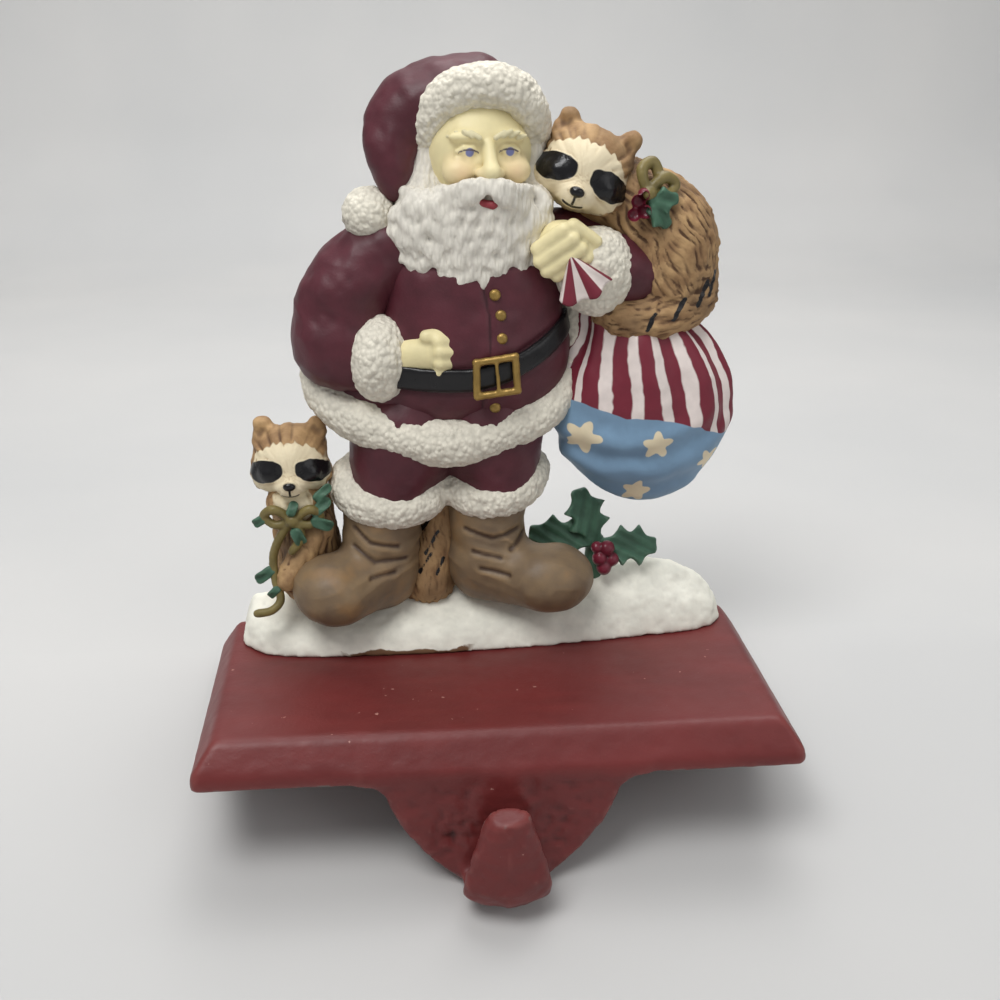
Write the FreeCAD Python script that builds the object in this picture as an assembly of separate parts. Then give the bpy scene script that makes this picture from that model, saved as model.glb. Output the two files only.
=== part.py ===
import FreeCAD, Part
import math
import os
from FreeCAD import Rotation, Vector

os.makedirs("parts", exist_ok=True)

# Mantel stocking holder, in millimetres.
# X runs to the right, Y back over the mantel, Z up.
# The origin is on the mantel's front top edge, in the middle of the holder.

# Base casting
BASE_WIDTH = 150.0
BASE_BACK = 67.0
BASE_HEIGHT = 11.0
LIP_HEIGHT = 3.5
BEVEL_INSET = 5.3
EDGE_ROUND = 1.2
CORNER_ROUND = 2.0
SIDE_WALL = 6.5
BACK_WALL = 6.0
FRONT_WALL = 5.0
TOP_WALL = 4.0
POCKET_ROUND = 4.0

# Tongue and hook
TONGUE_THICK = 6.0
TONGUE_HALF_TOP = 28.0
TONGUE_ROOT_ROUND = 8.0
HOOK_DROP = 31.0
THROAT_GAP = 9.0
FINGER_THICK = 6.0
FINGER_HALF_TOP = 5.0
FINGER_HALF_ROOT = 12.0
FINGER_TIP_DROP = 1.5

# Screws that hold the figure from below
SCREW_SPREAD = 35.0
SCREW_BACK = 55.0
SCREW_DIAMETER = 4.0
SCREW_GRIP = 8.0
HOLE_CLEARANCE = 0.3
HEAD_DIAMETER = 7.6
HEAD_HEIGHT = 2.4
BOSS_DIAMETER = 12.0
BOSS_END = 4.4
DRIVE_WIDTH = 1.2
DRIVE_DEPTH = 1.1

# Snow mound
SNOW_HALF = 67.0
SNOW_FRONT = 42.0
SNOW_BACK = 66.0
SNOW_DRIFT = 19.0

# Standing figure, from the snow up
FIGURE_X = -4.0
FIGURE_Y = 51.0
SOLE_RISE = 9.0
CUFF_RISE = 36.0
HEM_RISE = 28.0
BELT_RISE = 7.0
CHEST_RISE = 17.0
SHOULDER_RISE = 12.0
HEAD_RISE = 23.0
COAT_HALF = 26.0
COAT_DEPTH = 14.5
HEM_HALF = 33.0
HEM_DEPTH = 14.0
HEM_SAG = 12.0
FUR_ROUND = 5.6
HEAD_HALF = 14.0
PALM_SIZE = 6.4
ARM_RADIUS = 10.5
LEG_SPREAD = 14.5
BOOT_LENGTH = 20.0
SHAFT_RADIUS = 10.0
BELT_WIDTH = 6.0
BUCKLE_SIZE = 10.0
BUTTON_RADIUS = 1.5
POMPOM_RADIUS = 6.6

# Gathered sack
SACK_HALF = 24.5
SACK_DEPTH = 13.5
SACK_TALL = 26.0
SACK_RISE = 66.0
SACK_OUT = 45.5
SACK_PLEATS = 7

# Raccoons and holly
RACCOON_HEAD = 11.2
EAR_RADIUS = 4.2
TAIL_RADIUS = 5.6
LEAF_LENGTH = 18.0
LEAF_WIDTH = 11.0
LEAF_THICK = 2.2
BERRY_RADIUS = 2.3

# Facets of the carved forms
COAT_SIDES = 16
FACET_SWELL = 1.03

# Heights and places that follow from the sizes above
SOLE_Z = BASE_HEIGHT + SOLE_RISE
CUFF_Z = SOLE_Z + CUFF_RISE
HEM_Z = CUFF_Z + HEM_RISE
BELT_Z = HEM_Z + BELT_RISE
CHEST_Z = BELT_Z + CHEST_RISE
SHOULDER_Z = CHEST_Z + SHOULDER_RISE
HEAD_Z = SHOULDER_Z + HEAD_RISE
SACK_Z = BASE_HEIGHT + SACK_RISE
SACK_X = FIGURE_X + SACK_OUT
FINGER_BACK_Y = -TONGUE_THICK - THROAT_GAP
THROAT_Z = -HOOK_DROP + FINGER_THICK + 0.5 * THROAT_GAP


def at(x, y, z):
    return Vector(x, y, z)


def facet(points):
    """Flat faces on three or four points: one if they lie flat, else two."""
    corners = []
    for point in points:
        if not corners or point.sub(corners[-1]).Length > 1e-6:
            corners.append(point)
    if corners[0].sub(corners[-1]).Length < 1e-6:
        corners.pop()
    if len(corners) < 3:
        return []
    if len(corners) == 3:
        return [Part.Face(Part.makePolygon(corners + corners[:1]))]
    a, b, c, d = corners
    normal = b.sub(a).cross(c.sub(a))
    if abs(normal.dot(d.sub(a))) < 1e-6 * normal.Length:
        return [Part.Face(Part.makePolygon([a, b, c, d, a]))]
    return [Part.Face(Part.makePolygon(three)) for three in ([a, b, c, a], [a, c, d, a])]


def skin(rings, closed=False):
    """Carved solid with flat facets over rings of as many points each."""
    faces = []
    pairs = list(zip(rings, rings[1:]))
    if closed:
        pairs.append((rings[-1], rings[0]))
    for low, high in pairs:
        count = len(low)
        for i in range(count):
            j = (i + 1) % count
            faces += facet([low[i], low[j], high[j], high[i]])
    if not closed:
        for ring in (rings[0], rings[-1]):
            if ring[0].sub(ring[1]).Length > 1e-6:
                middle = sum(ring[1:], ring[0]).multiply(1.0 / len(ring))
                normal = ring[0].sub(middle).cross(ring[len(ring) // 4].sub(middle))
                flat = max(abs(p.sub(middle).dot(normal)) for p in ring)
                if flat < 1e-6:
                    faces.append(Part.Face(Part.makePolygon(ring + ring[:1])))
                else:
                    for i in range(len(ring)):
                        faces += facet([middle, ring[i], ring[(i + 1) % len(ring)]])
    solid = Part.makeSolid(Part.makeShell(faces))
    if solid.Volume < 0:
        solid.reverse()
    return solid


def sides_for(radius):
    """Facets around a form, more on a larger one."""
    return 6 if radius < 2.5 else 8 if radius < 6 else 10 if radius < 10 else 12 if radius < 18 else 16


def ball(centre, rx, ry, rz, rotation=None):
    """Faceted ellipsoid."""
    turn = rotation or Rotation()
    sides = sides_for(max(rx, ry, rz))
    levels = max(2, sides // 4) * 2
    rings = []
    for level in range(levels + 1):
        rise = math.pi * level / levels
        ring = []
        for side in range(sides):
            swing = 2 * math.pi * (side + 0.5) / sides
            point = at(
                rx * FACET_SWELL * math.sin(rise) * math.cos(swing),
                ry * FACET_SWELL * math.sin(rise) * math.sin(swing),
                -rz * FACET_SWELL * math.cos(rise),
            )
            ring.append(centre.add(turn.multVec(point)))
        rings.append(ring)
    return skin(rings)


def along(direction):
    """Rotation that takes Z to a direction."""
    return Rotation(Vector(0, 0, 1), direction)


def bar(start, start_radius, end, end_radius):
    """Faceted round bar between two points."""
    turn = along(end.sub(start))
    sides = sides_for(max(start_radius, end_radius))
    rings = []
    for centre, radius in ((start, start_radius), (end, end_radius)):
        ring = []
        for side in range(sides):
            swing = 2 * math.pi * side / sides
            point = at(radius * math.cos(swing), radius * math.sin(swing), 0)
            ring.append(centre.add(turn.multVec(point)))
        rings.append(ring)
    return skin(rings)


def limb(start, start_radius, end, end_radius):
    """Bar between two points, with a ball at its end."""
    return [bar(start, start_radius, end, end_radius), ball(end, end_radius, end_radius, end_radius)]


def chain(points):
    """Limb through several points, each with its own radius."""
    start, radius = points[0]
    forms = [ball(start, radius, radius, radius)]
    for (start, start_radius), (end, end_radius) in zip(points, points[1:]):
        forms += limb(start, start_radius, end, end_radius)
    return forms


def hoop(centre, rx, ry, tube, turn, sides=16, tube_sides=8):
    """Faceted ring, oval in plan."""
    rings = []
    for side in range(sides):
        swing = 2 * math.pi * side / sides
        ring = []
        for step in range(tube_sides):
            lift = 2 * math.pi * (step + 0.5) / tube_sides
            point = at(
                (rx + tube * math.cos(lift)) * math.cos(swing),
                (ry + tube * math.cos(lift)) * math.sin(swing),
                tube * math.sin(lift),
            )
            ring.append(centre.add(turn.multVec(point)))
        rings.append(ring)
    return skin(rings, True)


def prism(points, offset):
    """Extrude a flat outline of points by an offset."""
    return Part.Face(Part.makePolygon(points + points[:1])).extrude(offset)


def mirrored_outline(half, depth):
    """Points of a right half outline, and their mirror images, at one Y."""
    right = [at(x, depth, z) for x, z in half]
    left = [at(-x, depth, z) for x, z in reversed(half)]
    return right, left


def base_plate():
    half = 0.5 * BASE_WIDTH
    depth = BASE_BACK + TONGUE_THICK
    lip = Part.makeBox(BASE_WIDTH, depth, LIP_HEIGHT, at(-half, -TONGUE_THICK, 0))
    corners = [(-half, -TONGUE_THICK), (half, -TONGUE_THICK), (half, BASE_BACK), (-half, BASE_BACK)]
    low = Part.makePolygon([at(x, y, LIP_HEIGHT) for x, y in corners + corners[:1]])
    inner = half - BEVEL_INSET
    front = BEVEL_INSET - TONGUE_THICK
    corners = [(-inner, front), (inner, front), (inner, BASE_BACK), (-inner, BASE_BACK)]
    high = Part.makePolygon([at(x, y, BASE_HEIGHT) for x, y in corners + corners[:1]])
    bevel = Part.makeLoft([low, high], True, True)
    plate = lip.fuse(bevel).removeSplitter()
    upright = [e for e in plate.Edges if abs(e.tangentAt(e.FirstParameter).z) > 0.5]
    plate = plate.makeFillet(CORNER_ROUND, [e for e in upright if e.CenterOfMass.y < 0])
    rim = [e for e in plate.Edges if e.BoundBox.ZMin > BASE_HEIGHT - 0.01]
    return plate.makeFillet(EDGE_ROUND, rim)


def pocket():
    """Hollow under the plate, with rounded upright corners."""
    width = BASE_WIDTH - 2 * SIDE_WALL
    depth = BASE_BACK - BACK_WALL - FRONT_WALL
    height = BASE_HEIGHT - TOP_WALL
    box = Part.makeBox(width, depth, height + 1, at(-0.5 * width, FRONT_WALL, -1))
    upright = [e for e in box.Edges if abs(e.tangentAt(e.FirstParameter).z) > 0.5]
    return box.makeFillet(POCKET_ROUND, upright)


def tongue():
    """Flat tongue below the lip, with an ogee outline down to the hook."""
    top = LIP_HEIGHT - 0.5
    root = TONGUE_HALF_TOP + TONGUE_ROOT_ROUND
    low = HOOK_DROP - 0.5
    tip = FINGER_HALF_ROOT * 0.8
    start = at(root, 0, 0)
    knee = at(TONGUE_HALF_TOP, 0, -TONGUE_ROOT_ROUND)
    bend = 0.3 * TONGUE_ROOT_ROUND
    curve = Part.Arc(start, at(TONGUE_HALF_TOP + bend, 0, -bend), knee).toShape()
    side = Part.BSplineCurve()
    side.interpolate([
        knee,
        at(TONGUE_HALF_TOP - 3.5, 0, -0.48 * low),
        at(0.62 * TONGUE_HALF_TOP, 0, -0.78 * low),
        at(tip, 0, -0.93 * low),
    ])
    right = [curve, side.toShape()]
    left = [edge.mirror(Vector(0, 0, 0), Vector(1, 0, 0)) for edge in right]
    closing = [
        Part.makeLine(at(tip, 0, -0.93 * low), at(-tip, 0, -0.93 * low)),
        Part.makeLine(start, at(root, 0, top)),
        Part.makeLine(at(root, 0, top), at(-root, 0, top)),
        Part.makeLine(at(-root, 0, top), at(-root, 0, 0)),
    ]
    wire = Part.Wire(Part.__sortEdges__(right + left + closing))
    return Part.Face(wire).extrude(at(0, -TONGUE_THICK, 0))


def hook():
    """J hook: its side profile cut to its tapered front outline."""
    middle_y = -TONGUE_THICK - 0.5 * THROAT_GAP
    outer = 0.5 * THROAT_GAP + FINGER_THICK
    tip_z = -FINGER_TIP_DROP
    front_y = FINGER_BACK_Y - FINGER_THICK
    bottom_z = THROAT_Z - outer
    lean = 0.25 * FINGER_THICK
    edges = [
        Part.makeLine(at(0, -TONGUE_THICK, THROAT_Z), at(0, 0, THROAT_Z)),
        Part.Arc(
            at(0, -TONGUE_THICK, THROAT_Z),
            at(0, middle_y, THROAT_Z - 0.5 * THROAT_GAP),
            at(0, FINGER_BACK_Y, THROAT_Z),
        ).toShape(),
        Part.makeLine(at(0, FINGER_BACK_Y, THROAT_Z), at(0, FINGER_BACK_Y - lean, tip_z)),
        Part.makeLine(at(0, FINGER_BACK_Y - lean, tip_z), at(0, front_y, tip_z - lean)),
        Part.makeLine(at(0, front_y, tip_z - lean), at(0, front_y, THROAT_Z)),
        Part.Arc(at(0, front_y, THROAT_Z), at(0, middle_y, bottom_z), at(0, 0, THROAT_Z)).toShape(),
    ]
    side = Part.Face(Part.Wire(Part.__sortEdges__(edges)))
    wide = 2.5 * FINGER_HALF_ROOT
    bar = side.extrude(at(wide, 0, 0))
    bar.translate(at(-0.5 * wide, 0, 0))
    half = [
        (FINGER_HALF_TOP - 1.5, tip_z + 0.1),
        (FINGER_HALF_TOP, tip_z - 2.5),
        (FINGER_HALF_ROOT, THROAT_Z),
        (FINGER_HALF_ROOT, THROAT_Z - 3.0),
        (0.35 * FINGER_HALF_ROOT, bottom_z - 0.1),
    ]
    right, left = mirrored_outline(half, 1.0)
    outline = prism(right + left, at(0, front_y - 3.0, 0))
    return bar.common(outline)


def screw_places():
    return [-SCREW_SPREAD, SCREW_SPREAD]


def base_casting():
    casting = base_plate().cut(pocket())
    for x in screw_places():
        boss = Part.makeCone(
            0.5 * BOSS_DIAMETER,
            0.5 * BOSS_DIAMETER + 1.0,
            BASE_HEIGHT - TOP_WALL - BOSS_END + 0.5,
            at(x, SCREW_BACK, BOSS_END),
        )
        casting = casting.fuse(boss)
    casting = casting.multiFuse([tongue(), hook()]).removeSplitter()
    hole_radius = 0.5 * SCREW_DIAMETER + HOLE_CLEARANCE
    for x in screw_places():
        hole = Part.makeCylinder(hole_radius, BASE_HEIGHT + 2, at(x, SCREW_BACK, -1))
        casting = casting.cut(hole)
    return casting


def screws():
    """Two pan head screws, up through the bosses into the figure."""
    forms = []
    for x in screw_places():
        head = Part.makeCylinder(0.5 * HEAD_DIAMETER, HEAD_HEIGHT, at(x, SCREW_BACK, BOSS_END - HEAD_HEIGHT))
        low = [e for e in head.Edges if e.BoundBox.ZMax < BOSS_END - HEAD_HEIGHT + 0.01]
        head = head.makeFillet(0.3 * HEAD_HEIGHT, low)
        reach = BASE_HEIGHT + SCREW_GRIP - BOSS_END
        shank = Part.makeCylinder(0.5 * SCREW_DIAMETER, reach, at(x, SCREW_BACK, BOSS_END))
        screw = head.fuse(shank)
        for turn in (0.0, 90.0):
            slot = Part.makeBox(
                0.55 * HEAD_DIAMETER,
                DRIVE_WIDTH,
                DRIVE_DEPTH + 1,
                at(-0.275 * HEAD_DIAMETER, -0.5 * DRIVE_WIDTH, -1),
            )
            slot.Placement = FreeCAD.Placement(
                at(x, SCREW_BACK, BOSS_END - HEAD_HEIGHT), Rotation(Vector(0, 0, 1), turn)
            ).multiply(slot.Placement)
            screw = screw.cut(slot)
        forms.append(screw)
    return Part.makeCompound(forms)


def snow():
    """Drifted mound, as sections from the left end to the right end."""
    stations = [
        (-1.0, 10.0, 0.3), (-0.97, 5.0, 0.55), (-0.88, 2.0, 0.66), (-0.6, 0.6, 0.72), (-0.3, 0.0, 0.8),
        (0.0, 0.6, 0.86), (0.3, 2.0, 0.9), (0.6, 3.0, 1.0), (0.78, 4.0, 1.0), (0.92, 6.0, 0.75),
        (0.985, 9.0, 0.45), (1.0, 13.0, 0.2),
    ]
    rings = []
    for share, inset, height in stations:
        x = share * SNOW_HALF
        front = SNOW_FRONT + inset
        back = SNOW_BACK - (3.0 if abs(share) > 0.95 else 0.0)
        top = SNOW_DRIFT * height
        deep = back - front
        profile = [
            (front, 0.0), (front + 0.02 * deep, 0.35 * top), (front + 0.13 * deep, 0.72 * top),
            (front + 0.36 * deep, top), (back - 0.15 * deep, 0.98 * top), (back - 0.03 * deep, 0.7 * top),
            (back, 0.0),
        ]
        rings.append([at(x, y, BASE_HEIGHT + z) for y, z in profile])
    return skin(rings)


def coat_sections():
    """Height, middle X, middle Y, half width and half depth of the coat."""
    mid_y = FIGURE_Y
    return [
        (HEM_Z - 12, FIGURE_X - 5, mid_y, 0.75 * HEM_HALF, 0.8 * HEM_DEPTH),
        (HEM_Z - 4, FIGURE_X - 5, mid_y - 0.5, 0.9 * HEM_HALF, HEM_DEPTH),
        (BELT_Z - 3, FIGURE_X - 2, mid_y, COAT_HALF + 1, COAT_DEPTH + 0.5),
        (0.5 * (BELT_Z + CHEST_Z), FIGURE_X, mid_y, COAT_HALF, COAT_DEPTH),
        (CHEST_Z, FIGURE_X, mid_y + 0.5, COAT_HALF - 1, COAT_DEPTH - 1.5),
        (SHOULDER_Z - 3, FIGURE_X, mid_y + 1, 0.82 * COAT_HALF, 0.8 * COAT_DEPTH),
        (SHOULDER_Z + 5, FIGURE_X + 1, mid_y + 2, 0.45 * COAT_HALF, 0.55 * COAT_DEPTH),
    ]


def oval(z, x, y, rx, ry):
    ring = []
    for side in range(COAT_SIDES):
        swing = 2 * math.pi * side / COAT_SIDES
        ring.append(at(x + rx * math.cos(swing), y + ry * math.sin(swing), z))
    return ring


def coat():
    return [skin([oval(*section) for section in coat_sections()])]


def coat_front(x, z):
    """Y of the coat's front surface, between its sections."""
    sections = coat_sections()
    for low, high in zip(sections, sections[1:]):
        if low[0] <= z <= high[0]:
            share = (z - low[0]) / (high[0] - low[0])
            _, mid_x, mid_y, rx, ry = [a + share * (b - a) for a, b in zip(low, high)]
            return mid_y - ry * math.sqrt(max(0.0, 1.0 - ((x - mid_x) / rx) ** 2))
    return FIGURE_Y


def hem_fur():
    """Fur band of the coat, lowest at the front and highest at the sides."""
    centre = at(FIGURE_X - 5.5, FIGURE_Y, HEM_Z)
    half = HEM_HALF
    sides = 24
    rings = []
    for side in range(sides):
        swing = 2 * math.pi * side / sides
        sag = math.sin(swing)
        drop = HEM_SAG * sag * sag if sag < 0 else 0.6 * HEM_SAG * sag * sag
        ring = []
        for step in range(8):
            lift = 2 * math.pi * (step + 0.5) / 8
            ring.append(centre.add(at(
                (half + FUR_ROUND * math.cos(lift)) * math.cos(swing),
                (HEM_DEPTH + FUR_ROUND * (0.5 + 0.5 * math.cos(lift)) - 2.0) * sag,
                FUR_ROUND * math.sin(lift) - drop,
            )))
        rings.append(ring)
    return [skin(rings, True)]


def legs():
    """Boots, fur cuffs and the trousers above them."""
    forms = []
    hip = FIGURE_X - 6.5
    for side, out in ((-1, 45.0), (1, 45.0)):
        x = hip + side * LEG_SPREAD
        ankle = at(x, FIGURE_Y, SOLE_Z + 0.35 * CUFF_RISE)
        swing = math.radians(out)
        ahead = at(side * math.sin(swing), -math.cos(swing), 0)
        toe = at(x, FIGURE_Y, SOLE_Z + 9.0).add(ahead.multiply(0.72 * BOOT_LENGTH))
        turn = Rotation(Vector(0, 0, 1), -side * (90.0 - out))
        forms.append(ball(toe, 11.0, 9.5, 9.6, turn))
        forms += limb(at(x, FIGURE_Y + 1, SOLE_Z + 2), SHAFT_RADIUS, at(x, FIGURE_Y, CUFF_Z), SHAFT_RADIUS - 0.5)
        forms.append(ball(ankle.add(at(side * 5.0, -4.0, 0)), 11.0, 9.0, 9.5, turn))
        forms.append(ball(at(x, FIGURE_Y - 2, CUFF_Z), 1.02 * LEG_SPREAD, 12.5, 8.0))
        knee = at(x, FIGURE_Y - 1, CUFF_Z + 1)
        forms += limb(knee, 0.85 * LEG_SPREAD, at(x + 2, FIGURE_Y, HEM_Z - 6), 0.9 * LEG_SPREAD)
    return forms


def belt():
    """Belt, buckle and the row of buttons."""
    tilt = Rotation(Vector(0, 1, 0), -8.0)
    rx = COAT_HALF + 1.2
    ry = COAT_DEPTH + 1.3
    band = skin([oval(z, 0, 0, rx, ry) for z in (-0.5 * BELT_WIDTH, 0.5 * BELT_WIDTH)])
    band.Placement = FreeCAD.Placement(at(FIGURE_X - 1, FIGURE_Y, BELT_Z), tilt)
    x = FIGURE_X + 5.5
    face = FIGURE_Y - ry
    half = 0.5 * BUCKLE_SIZE
    frame = Part.makeBox(BUCKLE_SIZE, 4.0, BUCKLE_SIZE - 1, at(x - half, face - 1.2, BELT_Z - half + 1))
    window_place = at(x - 0.3 * BUCKLE_SIZE, face - 1.5, BELT_Z - 1.7)
    window = Part.makeBox(0.6 * BUCKLE_SIZE, 1.0, 0.5 * BUCKLE_SIZE, window_place)
    forms = [band, frame.cut(window)]
    for z in (BELT_Z - 9.0, BELT_Z + 8.0, BELT_Z + 14.0, BELT_Z + 19.0):
        spot = at(x - 1.0, coat_front(x - 1.0, z) - 0.2, z)
        forms.append(ball(spot, BUTTON_RADIUS, BUTTON_RADIUS, BUTTON_RADIUS))
    return forms


def fist(place, turn):
    """Closed hand: a palm and four curled fingers."""
    knuckle = 0.3 * PALM_SIZE
    forms = [ball(place, PALM_SIZE, 0.85 * PALM_SIZE, 0.95 * PALM_SIZE)]
    for finger in range(4):
        offset = at(0.75 * PALM_SIZE, -0.35 * PALM_SIZE, (1.5 - finger) * 1.5 * knuckle)
        centre = place.add(turn.multVec(offset))
        forms.append(ball(centre, 1.9 * knuckle, 1.7 * knuckle, 0.95 * knuckle, turn))
    return forms


def arms():
    """Sleeves, fur cuffs and hands."""
    left = [
        (at(FIGURE_X - 0.82 * COAT_HALF, FIGURE_Y + 1, SHOULDER_Z - 8), ARM_RADIUS),
        (at(FIGURE_X - 1.3 * COAT_HALF, FIGURE_Y, CHEST_Z - 11), ARM_RADIUS + 0.5),
        (at(FIGURE_X - 0.95 * COAT_HALF, FIGURE_Y - 8, BELT_Z + 2), ARM_RADIUS - 2),
    ]
    right = [
        (at(FIGURE_X + 0.8 * COAT_HALF, FIGURE_Y + 1, SHOULDER_Z - 8), ARM_RADIUS),
        (at(FIGURE_X + 1.6 * COAT_HALF, FIGURE_Y - 3, CHEST_Z + 3), ARM_RADIUS - 0.5),
        (at(FIGURE_X + 1.25 * COAT_HALF, FIGURE_Y - 9, CHEST_Z + 6), ARM_RADIUS - 1.5),
    ]
    forms = chain(left) + chain(right)
    cuff = at(FIGURE_X - 23.0, FIGURE_Y - 10, BELT_Z + 2)
    forms.append(ball(cuff, 7.6, 9.0, 10.4, Rotation(Vector(0, 0, 1), -25.0)))
    hand = cuff.add(at(14.0, -3.5, 1.5))
    forms += limb(cuff, 5.5, hand.add(at(-2.0, 0, 0)), 5.0)
    forms += fist(hand, Rotation(Vector(0, 0, 1), -20.0))
    cuff = at(FIGURE_X + 31.0, FIGURE_Y - 11, CHEST_Z + 6)
    forms.append(ball(cuff, 10.0, 6.6, 11.2, Rotation(Vector(0, 1, 0), 12.0)))
    hand = cuff.add(at(-9.5, -1.5, 7.0))
    forms += limb(cuff, 5.5, hand, 5.5)
    forms += fist(hand, Rotation(Vector(0, 1, 0), 35.0))
    forms.append(bar(hand, 4.0, hand.add(at(8.0, -1.0, -12.0)), 7.5))
    return forms


def head():
    """Head, nose, hair, beard with its locks, and the moustache."""
    skull = at(FIGURE_X + 3, FIGURE_Y, HEAD_Z)
    forms = [ball(skull, HEAD_HALF, HEAD_HALF - 1.5, HEAD_HALF + 1)]
    forms.append(ball(skull.add(at(1.5, 0.6 - HEAD_HALF, -3.0)), 2.4, 2.6, 2.6))
    beard = skull.add(at(-3.0, -1.5, -15.5))
    forms.append(ball(beard, 1.28 * HEAD_HALF, 0.7 * HEAD_HALF, 1.15 * HEAD_HALF))
    for lock in range(5):
        lean = math.radians(-50.0 + 25.0 * lock)
        tip = beard.add(at(0.95 * HEAD_HALF * math.sin(lean), -3.5, -0.95 * HEAD_HALF * math.cos(lean)))
        forms.append(ball(tip, 4.2, 4.6, 5.2))
    for side in (-1, 1):
        turn = Rotation(Vector(0, 1, 0), side * 18.0)
        forms.append(ball(skull.add(at(1.5 + side * 5.4, -9.5, -7.5)), 6.6, 4.6, 3.0, turn))
    return forms


def hat():
    """Stocking cap with its fur band, folded tip and pompom."""
    crown = at(FIGURE_X + 1, FIGURE_Y + 2, HEAD_Z + 10)
    forms = [ball(crown, 12.5, 11.0, 12.8, Rotation(Vector(0, 1, 0), -20.0))]
    drop = [
        (crown.add(at(-7.5, 0, 1.0)), 9.5),
        (crown.add(at(-19.5, -2.0, -6.5)), 7.4),
        (crown.add(at(-20.5, -3.0, -14.5)), 5.4),
        (crown.add(at(-19.0, -4.0, -21.0)), 3.4),
    ]
    forms += chain(drop)
    forms.append(ball(crown.add(at(-24.5, -3.5, -25.0)), POMPOM_RADIUS, POMPOM_RADIUS, POMPOM_RADIUS))
    tilt = along(Vector(0, -0.85, 0.55))
    middle = at(FIGURE_X + 3, FIGURE_Y - 3.5, HEAD_Z + 3.5)
    forms.append(hoop(middle, HEAD_HALF - 1.0, HEAD_HALF - 1.0, 5.0, tilt))
    return forms


def raccoon_head(place, roll):
    """Round head with cheeks, snout and two ears."""
    turn = Rotation(Vector(0, 1, 0), roll)
    size = RACCOON_HEAD
    forms = [ball(place, size, 0.8 * size, 0.92 * size, turn)]
    snout = place.add(turn.multVec(at(0, -0.72 * size, -0.42 * size)))
    forms.append(ball(snout, 0.42 * size, 0.42 * size, 0.32 * size, turn))
    for side in (-1, 1):
        ear = place.add(turn.multVec(at(side * 0.72 * size, 0.25 * size, 0.85 * size)))
        forms.append(ball(ear, EAR_RADIUS, 0.62 * EAR_RADIUS, 1.25 * EAR_RADIUS, turn))
    return forms


def shoulder_raccoon():
    """Raccoon curled behind the right shoulder, its tail below it."""
    head_place = at(FIGURE_X + 28, FIGURE_Y - 4, HEAD_Z - 5)
    body = at(FIGURE_X + 47, FIGURE_Y + 2, SHOULDER_Z + 1)
    forms = raccoon_head(head_place, 16.0)
    forms.append(ball(body, 14.5, 10.5, 14.5))
    forms += limb(head_place.add(at(2, 3, -3)), 0.75 * RACCOON_HEAD, body, 10.0)
    tail = [
        (body.add(at(7.5, 0, -10.0)), TAIL_RADIUS),
        (body.add(at(2.0, -4, -19.0)), TAIL_RADIUS + 0.4),
        (body.add(at(-9.0, -6, -21.5)), TAIL_RADIUS),
        (body.add(at(-18.0, -6, -17.0)), TAIL_RADIUS - 1.0),
    ]
    return forms + chain(tail)


def seated_raccoon():
    """Raccoon beside the left boot, holding a ribbon."""
    head_place = at(FIGURE_X - 47, FIGURE_Y - 1, CUFF_Z + 8.5)
    forms = raccoon_head(head_place, 0.0)
    body_height = 0.5 * (head_place.z - BASE_HEIGHT)
    body = at(FIGURE_X - 44, FIGURE_Y + 2, BASE_HEIGHT + body_height)
    forms.append(ball(body, 11.0, 9.5, body_height - 2.0))
    forms += chain([
        (body.add(at(1.0, -7.0, 12.0)), 4.6),
        (body.add(at(-4.0, -9.0, -2.0)), 4.2),
    ])
    bow = head_place.add(at(1.0, -7.0, -13.5))
    for side in (-1, 1):
        forms.append(ball(bow.add(at(side * 5.0, 0, 0)), 5.4, 2.4, 3.0, Rotation(Vector(0, 1, 0), side * 15.0)))
    tail = at(FIGURE_X - 10.0, FIGURE_Y + 1, SOLE_Z + 16.0)
    forms.append(ball(tail, 7.0, 6.0, 15.0, Rotation(Vector(0, 1, 0), 12.0)))
    return forms


def sack():
    """Stuffed sack, gathered in pleats below its neck."""
    middle = at(SACK_X, FIGURE_Y, SACK_Z)
    forms = [ball(middle, SACK_HALF, SACK_DEPTH, SACK_TALL)]
    for pleat in range(SACK_PLEATS):
        lean = -54.0 + 108.0 * pleat / (SACK_PLEATS - 1)
        turn = Rotation(Vector(0, 1, 0), lean)
        spot = middle.add(turn.multVec(at(0, 0, 0.62 * SACK_TALL)))
        forms.append(ball(spot, 0.2 * SACK_HALF, SACK_DEPTH - 3.5, 0.44 * SACK_TALL, turn))
    neck = at(FIGURE_X + 29, FIGURE_Y - 9, CHEST_Z)
    forms += limb(neck, 6.0, middle.add(at(-6.0, 0, 0.6 * SACK_TALL)), 13.0)
    return forms


def holly_leaf(place, direction, roll):
    """Leaf with three spines a side, bent points out and hollows between."""
    spines = 3
    half = []
    for spine in range(spines):
        start = spine / spines
        half.append((0.5 * LEAF_WIDTH * (0.45 + 0.25 * start), (start + 0.02) * LEAF_LENGTH))
        half.append((0.5 * LEAF_WIDTH * (1.0 - 0.3 * start), (start + 0.22) * LEAF_LENGTH))
    outline = [at(0, 0, -0.1 * LEAF_LENGTH)]
    outline += [at(x, 0, z) for x, z in half]
    outline.append(at(0, 0, LEAF_LENGTH))
    outline += [at(-x, 0, z) for x, z in reversed(half)]
    leaf = prism(outline, at(0, LEAF_THICK, 0))
    leaf.Placement = FreeCAD.Placement(place, along(direction).multiply(Rotation(Vector(0, 0, 1), roll)))
    return leaf


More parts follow.
